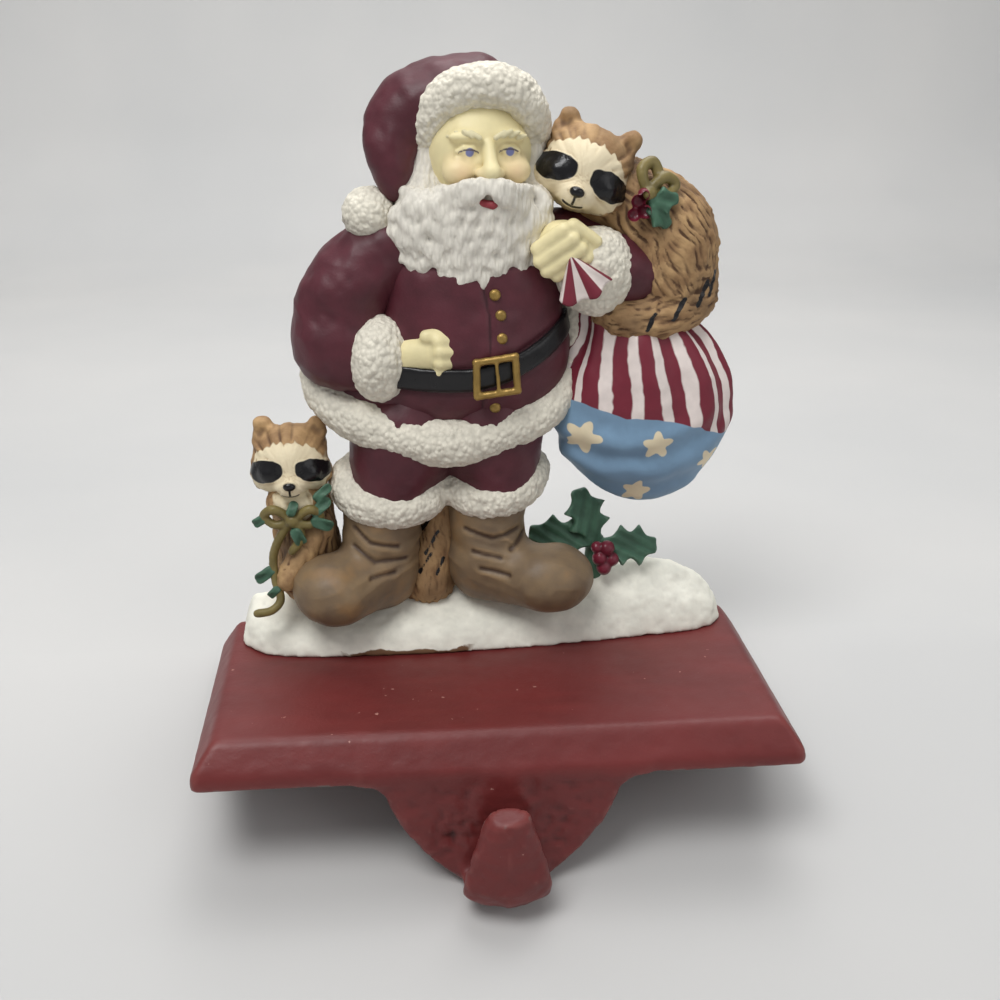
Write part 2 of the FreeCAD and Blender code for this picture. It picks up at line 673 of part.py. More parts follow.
def holly():
    """Sprig behind the drift: a stem, three leaves and a cluster of berries."""
    root = at(FIGURE_X + 34, SNOW_BACK - 10, BASE_HEIGHT + SNOW_DRIFT + 4.0)
    forms = [holly_leaf(root, Vector(-0.25, 0.15, 1.0), 0.0)]
    forms.append(holly_leaf(root, Vector(-1.0, 0.1, 0.15), 90.0))
    forms.append(holly_leaf(root, Vector(1.0, 0.05, 0.05), -90.0))
    forms.append(ball(root.add(at(0, 2, -5.0)), 5.5, 4.0, 8.0))
    for turn in (90.0, 210.0, 330.0):
        lean = math.radians(turn)
        spot = root.add(at(1.9 * math.cos(lean), -1.6, 1.9 * math.sin(lean) - 2.0))
        forms.append(ball(spot, BERRY_RADIUS, BERRY_RADIUS, BERRY_RADIUS))
    return forms


def figure():
    solid = snow()
    groups = (
        legs, coat, hem_fur, belt, arms, head, hat, sack, shoulder_raccoon, seated_raccoon, holly,
    )
    for group in groups:
        solid = solid.multiFuse(group())
    hole_radius = 0.5 * SCREW_DIAMETER + HOLE_CLEARANCE
    depth = SCREW_GRIP + 1.0
    for x in screw_places():
        hole = Part.makeCylinder(hole_radius, depth + 1, at(x, SCREW_BACK, BASE_HEIGHT - 1))
        solid = solid.cut(hole)
    return solid


base_casting().exportStep("parts/base_casting.step")
screws().exportStep("parts/mounting_screws.step")
figure().exportStep("parts/figure.step")
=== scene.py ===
import math

import bpy
import numpy as np
from mathutils import Matrix, Vector


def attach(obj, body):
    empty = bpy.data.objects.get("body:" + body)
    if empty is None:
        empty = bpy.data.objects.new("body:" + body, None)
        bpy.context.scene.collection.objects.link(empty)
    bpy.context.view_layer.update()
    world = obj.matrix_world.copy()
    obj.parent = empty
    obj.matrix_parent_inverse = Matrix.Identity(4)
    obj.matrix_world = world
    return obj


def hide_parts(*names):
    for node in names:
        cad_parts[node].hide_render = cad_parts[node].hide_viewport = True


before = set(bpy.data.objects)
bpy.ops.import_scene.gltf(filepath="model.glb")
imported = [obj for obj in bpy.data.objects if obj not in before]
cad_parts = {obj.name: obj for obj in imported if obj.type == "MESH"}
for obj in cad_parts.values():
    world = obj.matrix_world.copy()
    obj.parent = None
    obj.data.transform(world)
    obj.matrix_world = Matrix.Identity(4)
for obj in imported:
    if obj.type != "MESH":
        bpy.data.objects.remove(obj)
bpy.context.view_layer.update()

MM = 0.001

# Camera, in millimetres and degrees
CAMERA_PLACE = (-24.2, -276.1, 171.9)
CAMERA_PITCH = 20.2
CAMERA_YAW = 4.9
CAMERA_LENS = 46.8

# Base casting, in millimetres
HALF_WIDTH = 75.0
PLATE_BACK = 67.0
PLATE_TOP = 11.0
LIP_TOP = 3.5
BEVEL_IN = 5.3
TONGUE_THICK = 6.0
THROAT = (-10.5, -20.5)
THROAT_RADIUS = 4.5
HOOK_RADIUS = 10.5
HOOK_BOTTOM = -31.2
POCKET_HALF = (68.5, 28.0)
POCKET_MIDDLE = 33.0
POCKET_TOP = 7.0
SCREW_PLACE = (35.0, 55.0)
SCREW_HOLE = 2.3
BOSS_RADIUS = 6.0
BOSS_END = 4.4


def srgb(r, g, b):
    """Linear colour of an 8 bit screen colour."""
    return tuple(((c / 255 + 0.055) / 1.055) ** 2.4 if c > 10 else c / 255 / 12.92 for c in (r, g, b))


# Paint colours, linear
RED = srgb(103, 38, 37)
BURGUNDY = srgb(79, 33, 42)
WHITE_FUR = srgb(230, 224, 208)
BEARD_WHITE = srgb(232, 227, 215)
FLESH = srgb(236, 223, 174)
CREAM = srgb(228, 214, 182)
BLACK = srgb(20, 19, 21)
GOLD = srgb(150, 122, 66)
BLUE = srgb(120, 151, 178)
STRIPE_RED = srgb(116, 34, 50)
SACK_WHITE = srgb(226, 214, 208)
LEAF_GREEN = srgb(62, 96, 76)
BERRY_RED = srgb(104, 30, 46)
RIBBON = srgb(112, 100, 58)
SNOW_WHITE = srgb(231, 229, 216)

# Triangle size: a factor on the step of every sculpted piece, a little over 1 and so a little coarser
FINE = 1.14


# Distance fields. Each takes points as three arrays, in millimetres.
def turned(p, centre, turn):
    """Points about a centre, turned back by Euler angles in degrees."""
    q = [p[i] - centre[i] for i in range(3)]
    if turn is None:
        return q
    m = Matrix.Rotation(math.radians(turn[2]), 3, "Z") @ Matrix.Rotation(math.radians(turn[1]), 3, "Y")
    m = m @ Matrix.Rotation(math.radians(turn[0]), 3, "X")
    m = m.transposed()
    return [q[0] * m[i][0] + q[1] * m[i][1] + q[2] * m[i][2] for i in range(3)]


def ball(centre, radii, turn=None):
    """Ellipsoid."""
    r = (radii,) * 3 if isinstance(radii, (int, float)) else radii

    def field(p):
        q = turned(p, centre, turn)
        a = np.sqrt(sum((q[i] / r[i]) ** 2 for i in range(3)))
        b = np.sqrt(sum((q[i] / (r[i] * r[i])) ** 2 for i in range(3))) + 1e-6
        return a * (a - 1.0) / b
    return field


def bone(a, b, ra, rb):
    """Round bar from a to b with a radius at each end."""
    run = [b[i] - a[i] for i in range(3)]
    length = sum(c * c for c in run) + 1e-9

    def field(p):
        q = [p[i] - a[i] for i in range(3)]
        t = np.clip((q[0] * run[0] + q[1] * run[1] + q[2] * run[2]) / length, 0.0, 1.0)
        gap = np.sqrt(sum((q[i] - run[i] * t) ** 2 for i in range(3)))
        return gap - (ra + (rb - ra) * t)
    return field


def soft_min(a, b, k):
    h = np.clip(0.5 + 0.5 * (b - a) / k, 0.0, 1.0)
    return b + (a - b) * h - k * h * (1.0 - h)


def soft_max(a, b, k):
    return -soft_min(-a, -b, k)


def join(k, *fields):
    def field(p):
        d = fields[0](p)
        for other in fields[1:]:
            d = soft_min(d, other(p), k)
        return d
    return field


def carve(k, body, *tools):
    def field(p):
        d = body(p)
        for tool in tools:
            d = soft_max(d, -tool(p), k)
        return d
    return field


def both(x, y, z, radii):
    """Two ellipsoids, at -x and at x."""
    return [ball((side * x, y, z), radii) for side in (-1, 1)]


def smooth_path(points, steps, closed=False):
    """More points on a Catmull-Rom curve through (x, y, z, radius)."""
    pts = np.array(points, float)
    count = len(pts)
    out = []
    for i in range(count if closed else count - 1):
        p = [pts[(i + j) % count] if closed else pts[min(max(i + j, 0), count - 1)] for j in (-1, 0, 1, 2)]
        for s in range(steps):
            t = s / steps
            out.append(0.5 * (
                2 * p[1] + (p[2] - p[0]) * t + (2 * p[0] - 5 * p[1] + 4 * p[2] - p[3]) * t * t
                + (3 * p[1] - p[0] - 3 * p[2] + p[3]) * t ** 3
            ))
    if not closed:
        out.append(pts[-1])
    return [tuple(p) for p in out]


def tube(points, k, steps=1, closed=False):
    """Bar through points that are (x, y, z, radius), on a curve where steps is over 1."""
    if steps > 1:
        points = smooth_path(points, steps, closed)
    pairs = list(zip(points, points[1:]))
    if closed:
        pairs.append((points[-1], points[0]))
    return join(k, *[bone(a[:3], b[:3], a[3], b[3]) for a, b in pairs])


# Noise, worked out from hashed lattice points
def hashed(i, j, k, seed):
    h = (i * 73856093) ^ (j * 19349663) ^ (k * 83492791) ^ (seed * 2654435761)
    h = (h & 0xFFFFFFFF).astype(np.uint64)
    h ^= h >> np.uint64(16)
    h = (h * np.uint64(0x7FEB352D)) & np.uint64(0xFFFFFFFF)
    h ^= h >> np.uint64(15)
    h = (h * np.uint64(0x846CA68B)) & np.uint64(0xFFFFFFFF)
    h ^= h >> np.uint64(16)
    return h.astype(np.float64) / 4294967296.0


def noise(p, size, seed=0):
    """Smooth noise from -1 to 1, with lumps of about a size."""
    q = [c / size for c in p]
    base = [np.floor(c).astype(np.int64) for c in q]
    part = [c - b for c, b in zip(q, base)]
    ease = [t * t * (3 - 2 * t) for t in part]
    total = 0.0
    for di in (0, 1):
        for dj in (0, 1):
            for dk in (0, 1):
                weight = (ease[0] if di else 1 - ease[0]) * (ease[1] if dj else 1 - ease[1])
                weight = weight * (ease[2] if dk else 1 - ease[2])
                total = total + weight * hashed(base[0] + di, base[1] + dj, base[2] + dk, seed)
    return 2 * total - 1


def ripple(depth, size, seed):
    """Surface detail of smooth waves."""
    return lambda p, n: depth * noise(p, size, seed)


def bumps(p, size, seed=0):
    """Rounded bumps packed at a size, from 0 between them to 1 on top."""
    q = [c / size for c in p]
    base = [np.floor(c).astype(np.int64) for c in q]
    best = np.full(q[0].shape, 9.0)
    for di in (-1, 0, 1):
        for dj in (-1, 0, 1):
            for dk in (-1, 0, 1):
                cell = (base[0] + di, base[1] + dj, base[2] + dk)
                gap = 0.0
                for axis in range(3):
                    gap = gap + (cell[axis] + hashed(*cell, seed + 11 * axis) - q[axis]) ** 2
                best = np.minimum(best, gap)
    return 1.0 - np.clip(best, 0.0, 1.0)


# Meshing
def surface_net(d, low, step):
    """Vertices and quads of the zero surface of a grid of distances."""
    inside = d < 0
    corners = [(i, j, k) for i in (0, 1) for j in (0, 1) for k in (0, 1)]
    shape = [n - 1 for n in d.shape]
    count = np.zeros(shape, np.int8)
    for i, j, k in corners:
        count += inside[i:i + shape[0], j:j + shape[1], k:k + shape[2]]
    cells = np.argwhere((count > 0) & (count < 8))
    values = np.stack([d[cells[:, 0] + i, cells[:, 1] + j, cells[:, 2] + k] for i, j, k in corners], 1)
    place = np.zeros((len(cells), 3))
    hits = np.zeros(len(cells))
    for a in range(8):
        for b in range(a + 1, 8):
            run = np.array(corners[b]) - np.array(corners[a])
            if np.abs(run).sum() != 1:
                continue
            da, db = values[:, a], values[:, b]
            cross = (da < 0) != (db < 0)
            t = np.where(cross, da / np.where(cross, da - db, 1.0), 0.0)
            place += np.where(cross[:, None], np.array(corners[a]) + t[:, None] * run, 0.0)
            hits += cross
    verts = np.array(low) + step * (cells + place / hits[:, None])
    number = np.full(shape, -1, np.int64)
    number[cells[:, 0], cells[:, 1], cells[:, 2]] = np.arange(len(cells))
    quads = []
    for axis in range(3):
        u, v = [(1, 2), (2, 0), (0, 1)][axis]
        first = [slice(None)] * 3
        second = [slice(None)] * 3
        first[axis] = slice(0, -1)
        second[axis] = slice(1, None)
        a, b = inside[tuple(first)], inside[tuple(second)]
        edges = np.argwhere(a != b)
        keep = (edges[:, u] > 0) & (edges[:, v] > 0)
        keep &= (edges[:, u] < shape[u]) & (edges[:, v] < shape[v])
        edges = edges[keep]
        starts = inside[edges[:, 0], edges[:, 1], edges[:, 2]]
        ring = []
        for du, dv in ((-1, -1), (0, -1), (0, 0), (-1, 0)):
            cell = edges.copy()
            cell[:, u] += du
            cell[:, v] += dv
            ring.append(number[cell[:, 0], cell[:, 1], cell[:, 2]])
        ring = np.stack(ring, 1)
        ring[~starts] = ring[~starts][:, ::-1]
        quads.append(ring)
    return verts, np.concatenate(quads)


def sample(field, low, high, step):
    """Grid of distances, worked out in full only near the surface."""
    block = 8
    n = [int(math.ceil((high[i] - low[i]) / step / block)) for i in range(3)]
    d = np.zeros([c * block + 1 for c in n])
    spots = np.array(np.meshgrid(*[np.arange(c) for c in n], indexing="ij")).reshape(3, -1).T
    middle = np.array(low) + step * block * (spots + 0.5)
    value = field([middle[:, 0], middle[:, 1], middle[:, 2]])
    coarse = value.reshape(n)
    d[:-1, :-1, :-1] = np.repeat(np.repeat(np.repeat(coarse, block, 0), block, 1), block, 2)
    d[-1], d[:, -1], d[:, :, -1] = 9.0, 9.0, 9.0
    near = spots[np.abs(value) < 1.7 * block * step]
    span = np.arange(block + 1)
    offset = np.array(np.meshgrid(span, span, span, indexing="ij")).reshape(3, -1).T
    for start in range(0, len(near), 600):
        index = (near[start:start + 600, None, :] * block + offset[None]).reshape(-1, 3)
        place = np.array(low) + step * index
        d[index[:, 0], index[:, 1], index[:, 2]] = field([place[:, 0], place[:, 1], place[:, 2]])
    return d


def spread(verts, quads, values, rounds):
    """Values averaged over neighbouring vertices, several times."""
    a = quads.reshape(-1)
    b = np.roll(quads, -1, 1).reshape(-1)
    share = np.bincount(a, minlength=len(verts)) + np.bincount(b, minlength=len(verts)) + 1e-9
    out = values.copy()
    for _ in range(rounds):
        new = np.empty_like(out)
        for axis in range(out.shape[1]):
            new[:, axis] = (
                np.bincount(a, out[b, axis], len(verts)) + np.bincount(b, out[a, axis], len(verts))
            ) / share
        out = 0.5 * out + 0.5 * new
    return out


def normals_of(verts, quads):
    cross = np.cross(verts[quads[:, 2]] - verts[quads[:, 0]], verts[quads[:, 3]] - verts[quads[:, 1]])
    out = np.zeros_like(verts)
    for corner in range(4):
        for axis in range(3):
            out[:, axis] += np.bincount(quads[:, corner], cross[:, axis], len(verts))
    return out / (np.linalg.norm(out, axis=1, keepdims=True) + 1e-12)


def sculpt(name, field, low, high, step, material, detail=None, paint=None, relax=2, node="figure"):
    """Mesh a field, add surface detail along its normals and store paint masks."""
    step = step * FINE
    verts, quads = surface_net(sample(field, low, high, step), low, step)
    verts = spread(verts, quads, verts, relax)
    if detail is not None:
        n = normals_of(verts, quads)
        verts = verts + n * detail([verts[:, 0], verts[:, 1], verts[:, 2]], n)[:, None]
    n = normals_of(verts, quads)
    calm = spread(verts, quads, verts, 8)
    hollow = ((calm - verts) * n).sum(1)
    mesh = bpy.data.meshes.new(name)
    mesh.vertices.add(len(verts))
    mesh.vertices.foreach_set("co", (verts * MM).astype(np.float32).ravel())
    mesh.loops.add(4 * len(quads))
    mesh.loops.foreach_set("vertex_index", quads.astype(np.int32).ravel())
    mesh.polygons.add(len(quads))
    mesh.polygons.foreach_set("loop_start", np.arange(0, 4 * len(quads), 4, dtype=np.int32))
    mesh.polygons.foreach_set("use_smooth", np.ones(len(quads), bool))
    mesh.update(calc_edges=True)
    masks = {"hollow": hollow}
    if paint is not None:
        masks.update(paint([verts[:, 0], verts[:, 1], verts[:, 2]], n))
    for key, values in masks.items():
        layer = mesh.attributes.new(key, "FLOAT", "POINT")
        layer.data.foreach_set("value", np.asarray(values, np.float32))
    piece = bpy.data.objects.new(name, mesh)
    bpy.context.scene.collection.objects.link(piece)
    mesh.materials.append(material)
    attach(piece, "root")
    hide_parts(node)


# Materials
class Paint:
    """A procedural paint: colours mixed by noise, hollows and masks."""

    def __init__(self, name, roughness=0.55, metallic=0.0, specular=0.4):
        self.material = bpy.data.materials.new(name)
        self.material.use_nodes = True
        self.tree = self.material.node_tree
        self.shader = self.tree.nodes["Principled BSDF"]
        self.shader.inputs["Roughness"].default_value = roughness
        self.shader.inputs["Metallic"].default_value = metallic
        self.shader.inputs["Specular IOR Level"].default_value = specular
        self.place = self.tree.nodes.new("ShaderNodeTexCoord").outputs["Object"]

    def node(self, kind, inputs, **settings):
        """New node; an input is a number, a colour, a vector or another node's output."""
        made = self.tree.nodes.new(kind)
        for key, value in settings.items():
            setattr(made, key, value)
        for key, value in inputs.items():
            if isinstance(value, bpy.types.NodeSocket):
                self.tree.links.new(value, made.inputs[key])
            else:
                made.inputs[key].default_value = value
        return made

    def stretched(self, stretch):
        return self.node("ShaderNodeMapping", {"Vector": self.place, "Scale": stretch}).outputs["Vector"]

    def noise(self, size_mm, detail=4.0, stretch=None):
        source = self.stretched(stretch) if stretch else self.place
        inputs = {"Vector": source, "Scale": 1.0 / (size_mm * MM), "Detail": detail}
        return self.node("ShaderNodeTexNoise", inputs).outputs["Fac"]

    def cells(self, size_mm, stretch):
        """Distance to the middle of packed cells."""
        inputs = {"Vector": self.stretched(stretch), "Scale": 1.0 / (size_mm * MM), "Smoothness": 0.35}
        return self.node("ShaderNodeTexVoronoi", inputs, feature="SMOOTH_F1").outputs["Distance"]

    def ramp(self, value, low, high, first=0.0, last=1.0):
        """Value, or a vertex mask given by name, mapped from low..high to first..last."""
        if isinstance(value, str):
            value = self.node("ShaderNodeAttribute", {}, attribute_name=value).outputs["Fac"]
        inputs = {"Value": value, "From Min": low, "From Max": high, "To Min": first, "To Max": last}
        return self.node("ShaderNodeMapRange", inputs).outputs["Result"]

    def mix(self, share, first, second):
        first, second = [c + (1.0,) if isinstance(c, tuple) else c for c in (first, second)]
        inputs = {"Factor": share, "A": first, "B": second}
        return self.node("ShaderNodeMix", inputs, data_type="RGBA").outputs["Result"]

    def over(self, colour, other, value, low, high):
        """Colour that turns into another where a value goes from low to high."""
        return self.mix(self.ramp(value, low, high), colour, other)

    def bump(self, height, distance_mm, strength=1.0):
        inputs = {"Height": height, "Distance": distance_mm * MM, "Strength": strength}
        self.tree.links.new(self.node("ShaderNodeBump", inputs).outputs["Normal"],
            self.shader.inputs["Normal"])

    def rough(self, value, low, high):
        self.tree.links.new(self.ramp(value, 0.0, 1.0, low, high), self.shader.inputs["Roughness"])

    def done(self, colour):
        self.tree.links.new(colour, self.shader.inputs["Base Color"])
        return self.material


def shade(colour, factor):
    return tuple(min(1.0, c * factor) for c in colour)


def painted(name, colour, dark=0.55, light=1.12, patch_mm=9.0, roughness=(0.45, 0.65), grain_mm=0.5,
            grain=0.03, hollow_shade=(-0.02, 0.22), metallic=0.0):
    """Brushed paint, with painted shade that darkens its hollows."""
    paint = Paint(name, metallic=metallic)
    tone = paint.over(shade(colour, 0.9), shade(colour, light), paint.noise(patch_mm, 5.0), 0.35, 0.68)
    # Painted shade: the colour darkens in the hollows
    tone = paint.over(tone, shade(colour, dark), "hollow", *hollow_shade)
    paint.rough(paint.noise(2.5), *roughness)
    paint.bump(paint.noise(grain_mm, 3.0), grain)
    return paint.done(tone)


def shaggy(name, colour, size_mm, stretch, depth, dark):
    """White hair or fur: tufts that are light on top, with painted shade between them and in the hollows."""
    paint = Paint(name, 0.85, specular=0.25)
    tuft = paint.cells(size_mm, stretch)
    tone = paint.over(shade(colour, 0.9), shade(colour, 1.03), paint.noise(8.0), 0.35, 0.7)
    # Painted shade between the tufts and in the hollows
    tone = paint.over(tone, shade(colour, 0.5 + 0.5 * dark), tuft, 0.42, 0.95)
    tone = paint.over(tone, shade(colour, dark), "hollow", 0.02, 0.5)
    paint.bump(paint.ramp(tuft, 0.9, 0.1), depth, 0.9)
    return paint.done(tone)


def two_tone(name, base_colour, mask_colours, roughness=(0.5, 0.7), dark=0.6, hollow_shade=(-0.02, 0.2), edge=0.12):
    """Paint with fields of colour bounded by masks; a mask is over 0 inside its field."""
    paint = Paint(name)
    patches = paint.ramp(paint.noise(5.0, 5.0), 0.35, 0.68)
    tone = paint.mix(patches, shade(base_colour, 0.92), shade(base_colour, 1.1))
    # Painted shade: the base colour darkens in the hollows
    tone = paint.over(tone, shade(base_colour, dark), "hollow", *hollow_shade)
    for mask, colour in mask_colours:
        fill = paint.mix(patches, shade(colour, 0.94), shade(colour, 1.05))
        # Painted shade: each field darkens in its hollows
        fill = paint.over(fill, shade(colour, 0.7), "hollow", 0.0, 0.3)
        tone = paint.over(tone, fill, mask, -edge, edge)
    paint.rough(paint.noise(2.5), *roughness)
    paint.bump(paint.noise(0.6, 3.0), 0.03)
    return paint.done(tone)


def touch(field, x, z):
    """Y of a field's front surface at one x and z."""
    y = np.linspace(15.0, 66.0, 1021)
    d = field([np.full(y.shape, x), y, np.full(y.shape, z)])
    return float(y[np.argmax(d < 0)]) if (d < 0).any() else 51.0


def placed(field, centre, turn=None, scale=1.0):
    """A field made about the origin, set at a place."""
    return lambda p: scale * field([c / scale for c in turned(p, centre, turn)])


def curve_in(value, knots):
    """Straight steps between (place, value) knots, in rising order of place."""
    return np.interp(value, [k[0] for k in knots], [k[1] for k in knots])


def stroke(p, marks, half):
    """Over 0 within brush marks that are (x, z, x, z), seen from the front."""
    best = np.full(p[0].shape, 99.0)
    for ax, az, bx, bz in marks:
        rx, rz = bx - ax, bz - az
        t = np.clip(((p[0] - ax) * rx + (p[2] - az) * rz) / (rx * rx + rz * rz), 0, 1)
        best = np.minimum(best, np.hypot(p[0] - ax - rx * t, p[2] - az - rz * t))
    return half - best


# Base casting with its tongue and hook: half widths at heights
TONGUE_HALF = [
    (-31.2, 3.5), (-30.5, 6.5), (-29.0, 9.6), (-27.0, 12.6), (-24.0, 16.2), (-20.0, 20.0), (-13.9, 24.4),
    (-9.2, 26.8), (-8.0, 27.4), (-4.0, 29.1), (-2.0, 30.7), (-1.0, 32.1), (-0.5, 33.2), (0.0, 36.0),
    (3.5, 36.5),
]
FINGER_HALF = [
    (-31.4, 4.0), (-30.4, 6.6), (-28.5, 9.0), (-25.5, 10.8), (-22.0, 10.9), (-18.0, 9.9), (-12.0, 8.2),
    (-6.0, 6.4), (-3.0, 5.3), (-1.5, 4.6), (0.0, 4.2),
]


def plate_field(p):
    x, y, z = p
    ax = np.abs(x)
    rise = PLATE_TOP - LIP_TOP
    slope = math.hypot(rise, BEVEL_IN)
    front = (-(y + TONGUE_THICK) * rise + (z - LIP_TOP) * BEVEL_IN) / slope
    side = ((ax - HALF_WIDTH) * rise + (z - LIP_TOP) * BEVEL_IN) / slope
    rim = soft_max(-TONGUE_THICK - y, ax - HALF_WIDTH, 2.5)
    d = soft_max(rim, soft_max(front, side, 1.0), 1.0)
    d = soft_max(d, z - PLATE_TOP, 1.6)
    d = soft_max(d, soft_max(y - PLATE_BACK, -z, 0.8), 0.8)
    pocket = soft_max(ax - POCKET_HALF[0], np.abs(y - POCKET_MIDDLE) - POCKET_HALF[1], 4.0)
    pocket = soft_max(pocket, z - POCKET_TOP, 1.5)
    from_screw = np.hypot(ax - SCREW_PLACE[0], y - SCREW_PLACE[1])
    boss = soft_max(from_screw - BOSS_RADIUS, BOSS_END - z, 0.6)
    d = soft_max(d, -soft_max(pocket, -boss, 1.2), 0.8)
    return np.maximum(d, SCREW_HOLE - from_screw)


def tongue_field(p):
    x, y, z = p
    outline = (np.abs(x) - curve_in(z, TONGUE_HALF)) * 0.8
    slab = np.abs(y + 0.5 * TONGUE_THICK) - 0.5 * TONGUE_THICK
    return soft_max(soft_max(outline, slab, 1.8), soft_max(-31.0 - z, z - 3.0, 0.5), 1.0)


def finger_field(p):
    x, y, z = p
    half = curve_in(z, FINGER_HALF)
    share = np.clip(np.abs(x) / half, 0, 1.2)
    keel = 3.4 * share ** 1.7
    dy, dz = y - THROAT[0], z - THROAT[1]
    low = z < THROAT[1]
    round_gap = np.hypot(dy, dz)
    outer = np.where(low, round_gap - HOOK_RADIUS, np.maximum(-21.0 - y, y + 0.5)) + 0.8 * keel
    inner = np.where(low, round_gap, np.abs(dy)) - THROAT_RADIUS
    d = soft_max(outer, -inner, 1.2)
    tip = (z + 1.5 - 0.28 * (y + 15.0)) * 0.95
    d = soft_max(d, (np.abs(x) - half) * 0.9, 2.0)
    return soft_max(soft_max(d, tip, 1.2), HOOK_BOTTOM - z, 1.0)


def base_field(p):
    return soft_min(plate_field(p), soft_min(tongue_field(p), finger_field(p), 2.6), 1.6)


def casting_skin(p, n):
    """Sand cast surface, rougher on the tongue than on the plate."""
    low = np.clip((1.0 - p[2]) / 4.0, 0, 1)
    front = np.clip((2.0 - p[1]) / 6.0, 0, 1)
    rough = 0.03 + 0.22 * low * front + 0.05 * front
    pit = np.exp(-(((np.abs(p[0]) - 12.5) / 5.0) ** 2 + ((p[2] + 15.0) / 6.0) ** 2)) * low * (p[1] > -8.0)
    grain = noise(p, 3.2, 1) + 0.7 * noise(p, 1.5, 2)
    return rough * grain + 0.05 * noise(p, 9.0, 3) - 0.75 * pit * (1.0 + 0.8 * noise(p, 1.4, 4))


def base_paint():
    """Red paint, worn to bare iron in places along its edges."""
    paint = Paint("cast_red", 0.45)
    tone = paint.over(shade(RED, 0.86), shade(RED, 1.1), paint.noise(26.0, 5.0), 0.32, 0.7)
    tone = paint.over(tone, shade(RED, 1.22), paint.noise(7.0, 6.0, (0.35, 1.0, 1.0)), 0.45, 0.8)
    # Painted shade darkens the hollows, and a painted highlight lightens the edges
    tone = paint.over(tone, shade(RED, 0.42), "hollow", 0.03, 0.45)
    tone = paint.over(tone, srgb(132, 70, 66), "hollow", -0.12, -0.5)
    tone = paint.over(tone, srgb(168, 120, 110), paint.noise(2.1, 3.0), 0.735, 0.75)
    edge = paint.ramp("hollow", -0.22, -0.34)
    wear = paint.ramp(paint.noise(5.0), 0.55, 0.6)
    bare = paint.node("ShaderNodeMath", {0: edge, 1: wear}, operation="MULTIPLY").outputs["Value"]
    tone = paint.mix(bare, tone, srgb(104, 96, 92))
    paint.rough(paint.noise(4.0, 5.0), 0.34, 0.56)
    paint.bump(paint.noise(0.9), 0.05)
    return paint.done(tone)


sculpt("casting", base_field, (-77, -23, -33), (77, 69, 13), 0.72, base_paint(), casting_skin,
       node="base_casting")

# Snow
SNOW_FRONT = [(-66, 49), (-64, 46.5), (-60, 43), (-51, 41), (-39, 40), (-13, 40), (3, 41), (31, 44), (43, 46),
              (57, 48), (64, 51), (68, 56)]
SNOW_TOP = [(-67.5, 14), (-66, 19.5), (-64, 22.5), (-40, 25), (-16, 26), (20, 27), (44, 28.6), (53, 28.6),
            (59, 25.5), (64, 21.5), (66.5, 17), (68.5, 13)]


def snow_field(p):
    x, y, z = p
    front = curve_in(x, SNOW_FRONT)
    top = curve_in(x, SNOW_TOP)
    t = np.clip((y - front) / (57.5 - front), 0, 1)
    fall = np.clip((y - 60.0) / 6.0, 0, 1)
    height = 15.0 + (top - 15.0) * t ** 0.85 - 7.0 * fall * fall
    height = np.where(top < 15, top, height)
    height = height + 0.7 * noise([x, y, 0 * z], 9.0, 4)
    wall = soft_max(front - y, y - 66.0, 2.0)
    ends = soft_max(-67.5 - x, x - 68.5, 1.0)
    d = soft_max((z - height) * 0.75, soft_max(wall, ends, 3.0), 5.0)
    return np.maximum(d, 11.0 - z)


def snow_skin(p, n):
    """Grains and soft lumps."""
    return 0.16 * noise(p, 1.3, 7) + 0.2 * noise(p, 3.4, 8) + 0.06 * noise(p, 0.7, 9)


def snow_paint(p, n):
    """Bare brown edge where the white wore off at the front."""
    bare = 12.6 + 0.8 * noise([p[0], p[1], 0 * p[2]], 6.0, 12) - p[2]
    bare = np.minimum(bare, 0.14 * (17.0 - np.abs(p[0] + 22.0))) + 0.3 * noise(p, 1.0, 5)
    return {"bare": np.minimum(bare, 46.0 - p[1])}


snow_material = two_tone(
    "snow_white", SNOW_WHITE, [("bare", srgb(112, 82, 58))], (0.7, 0.9), 0.72, hollow_shade=(0.0, 0.4))
sculpt("snow", snow_field, (-70, 38, 10), (71, 68, 32), 0.62, snow_material, snow_skin,
       snow_paint)

# Boots
left_boot = join(
    4.0,
    bone((-27.5, 52, 52), (-28.5, 51.5, 36), 10.6, 10.0),
    bone((-28.0, 52.0, 30), (-34, 47, 31), 9.3, 9.5),
    ball((-41.5, 41.5, 30.3), (11.0, 9.8, 9.2), (0, 14, -35)),
)
right_boot = join(
    4.0,
    bone((0.4, 52, 52), (0.0, 51.5, 37), 10.6, 10.2),
    bone((-0.5, 52.0, 31.5), (7, 47.5, 32), 9.2, 9.3),
    ball((17.0, 42.5, 31.4), (12.0, 9.8, 9.2), (0, 4, 28)),
)


def boots_field(p):
    d = np.minimum(left_boot(p), right_boot(p))
    return soft_max(d, 20.8 - p[2], 2.5)


BOOT_CREASES = [
    (-35, 47.0, -31, 43.5), (-31, 43.5, -24, 42.0), (-35, 42.0, -30, 38.6), (-30, 38.6, -22, 38.2),
    (-31, 35.0, -25, 35.0), (-6, 46.0, 1, 43.8), (1, 43.8, 8, 45.2), (-4, 40.0, 3, 38.6),
    (6, 40.6, 10, 43.0), (-2, 35.4, 5, 34.6),
]


def boot_skin(p, n):
    """Creases of the ankle, and a slight welt above the sole."""
    ankle = np.exp(-((p[2] - 42.5) / 5.5) ** 2) + 0.5 * np.exp(-((p[2] - 34.0) / 4.0) ** 2)
    bend = [p[0] * 0.45, p[1] * 0.45, p[2] * 1.3 + 0.35 * np.abs(p[0] + 13.0)]
    crease = 1.0 - 2.0 * np.abs(noise(bend, 4.6, 21))
    welt = np.exp(-((p[2] - 23.2) / 0.45) ** 2)
    groove = np.clip(stroke(p, BOOT_CREASES, 1.1), 0, 1) * (p[1] < 50)
    return 0.55 * ankle * crease - 0.75 * groove + 0.1 * noise(p, 3.0, 22) - 0.22 * welt


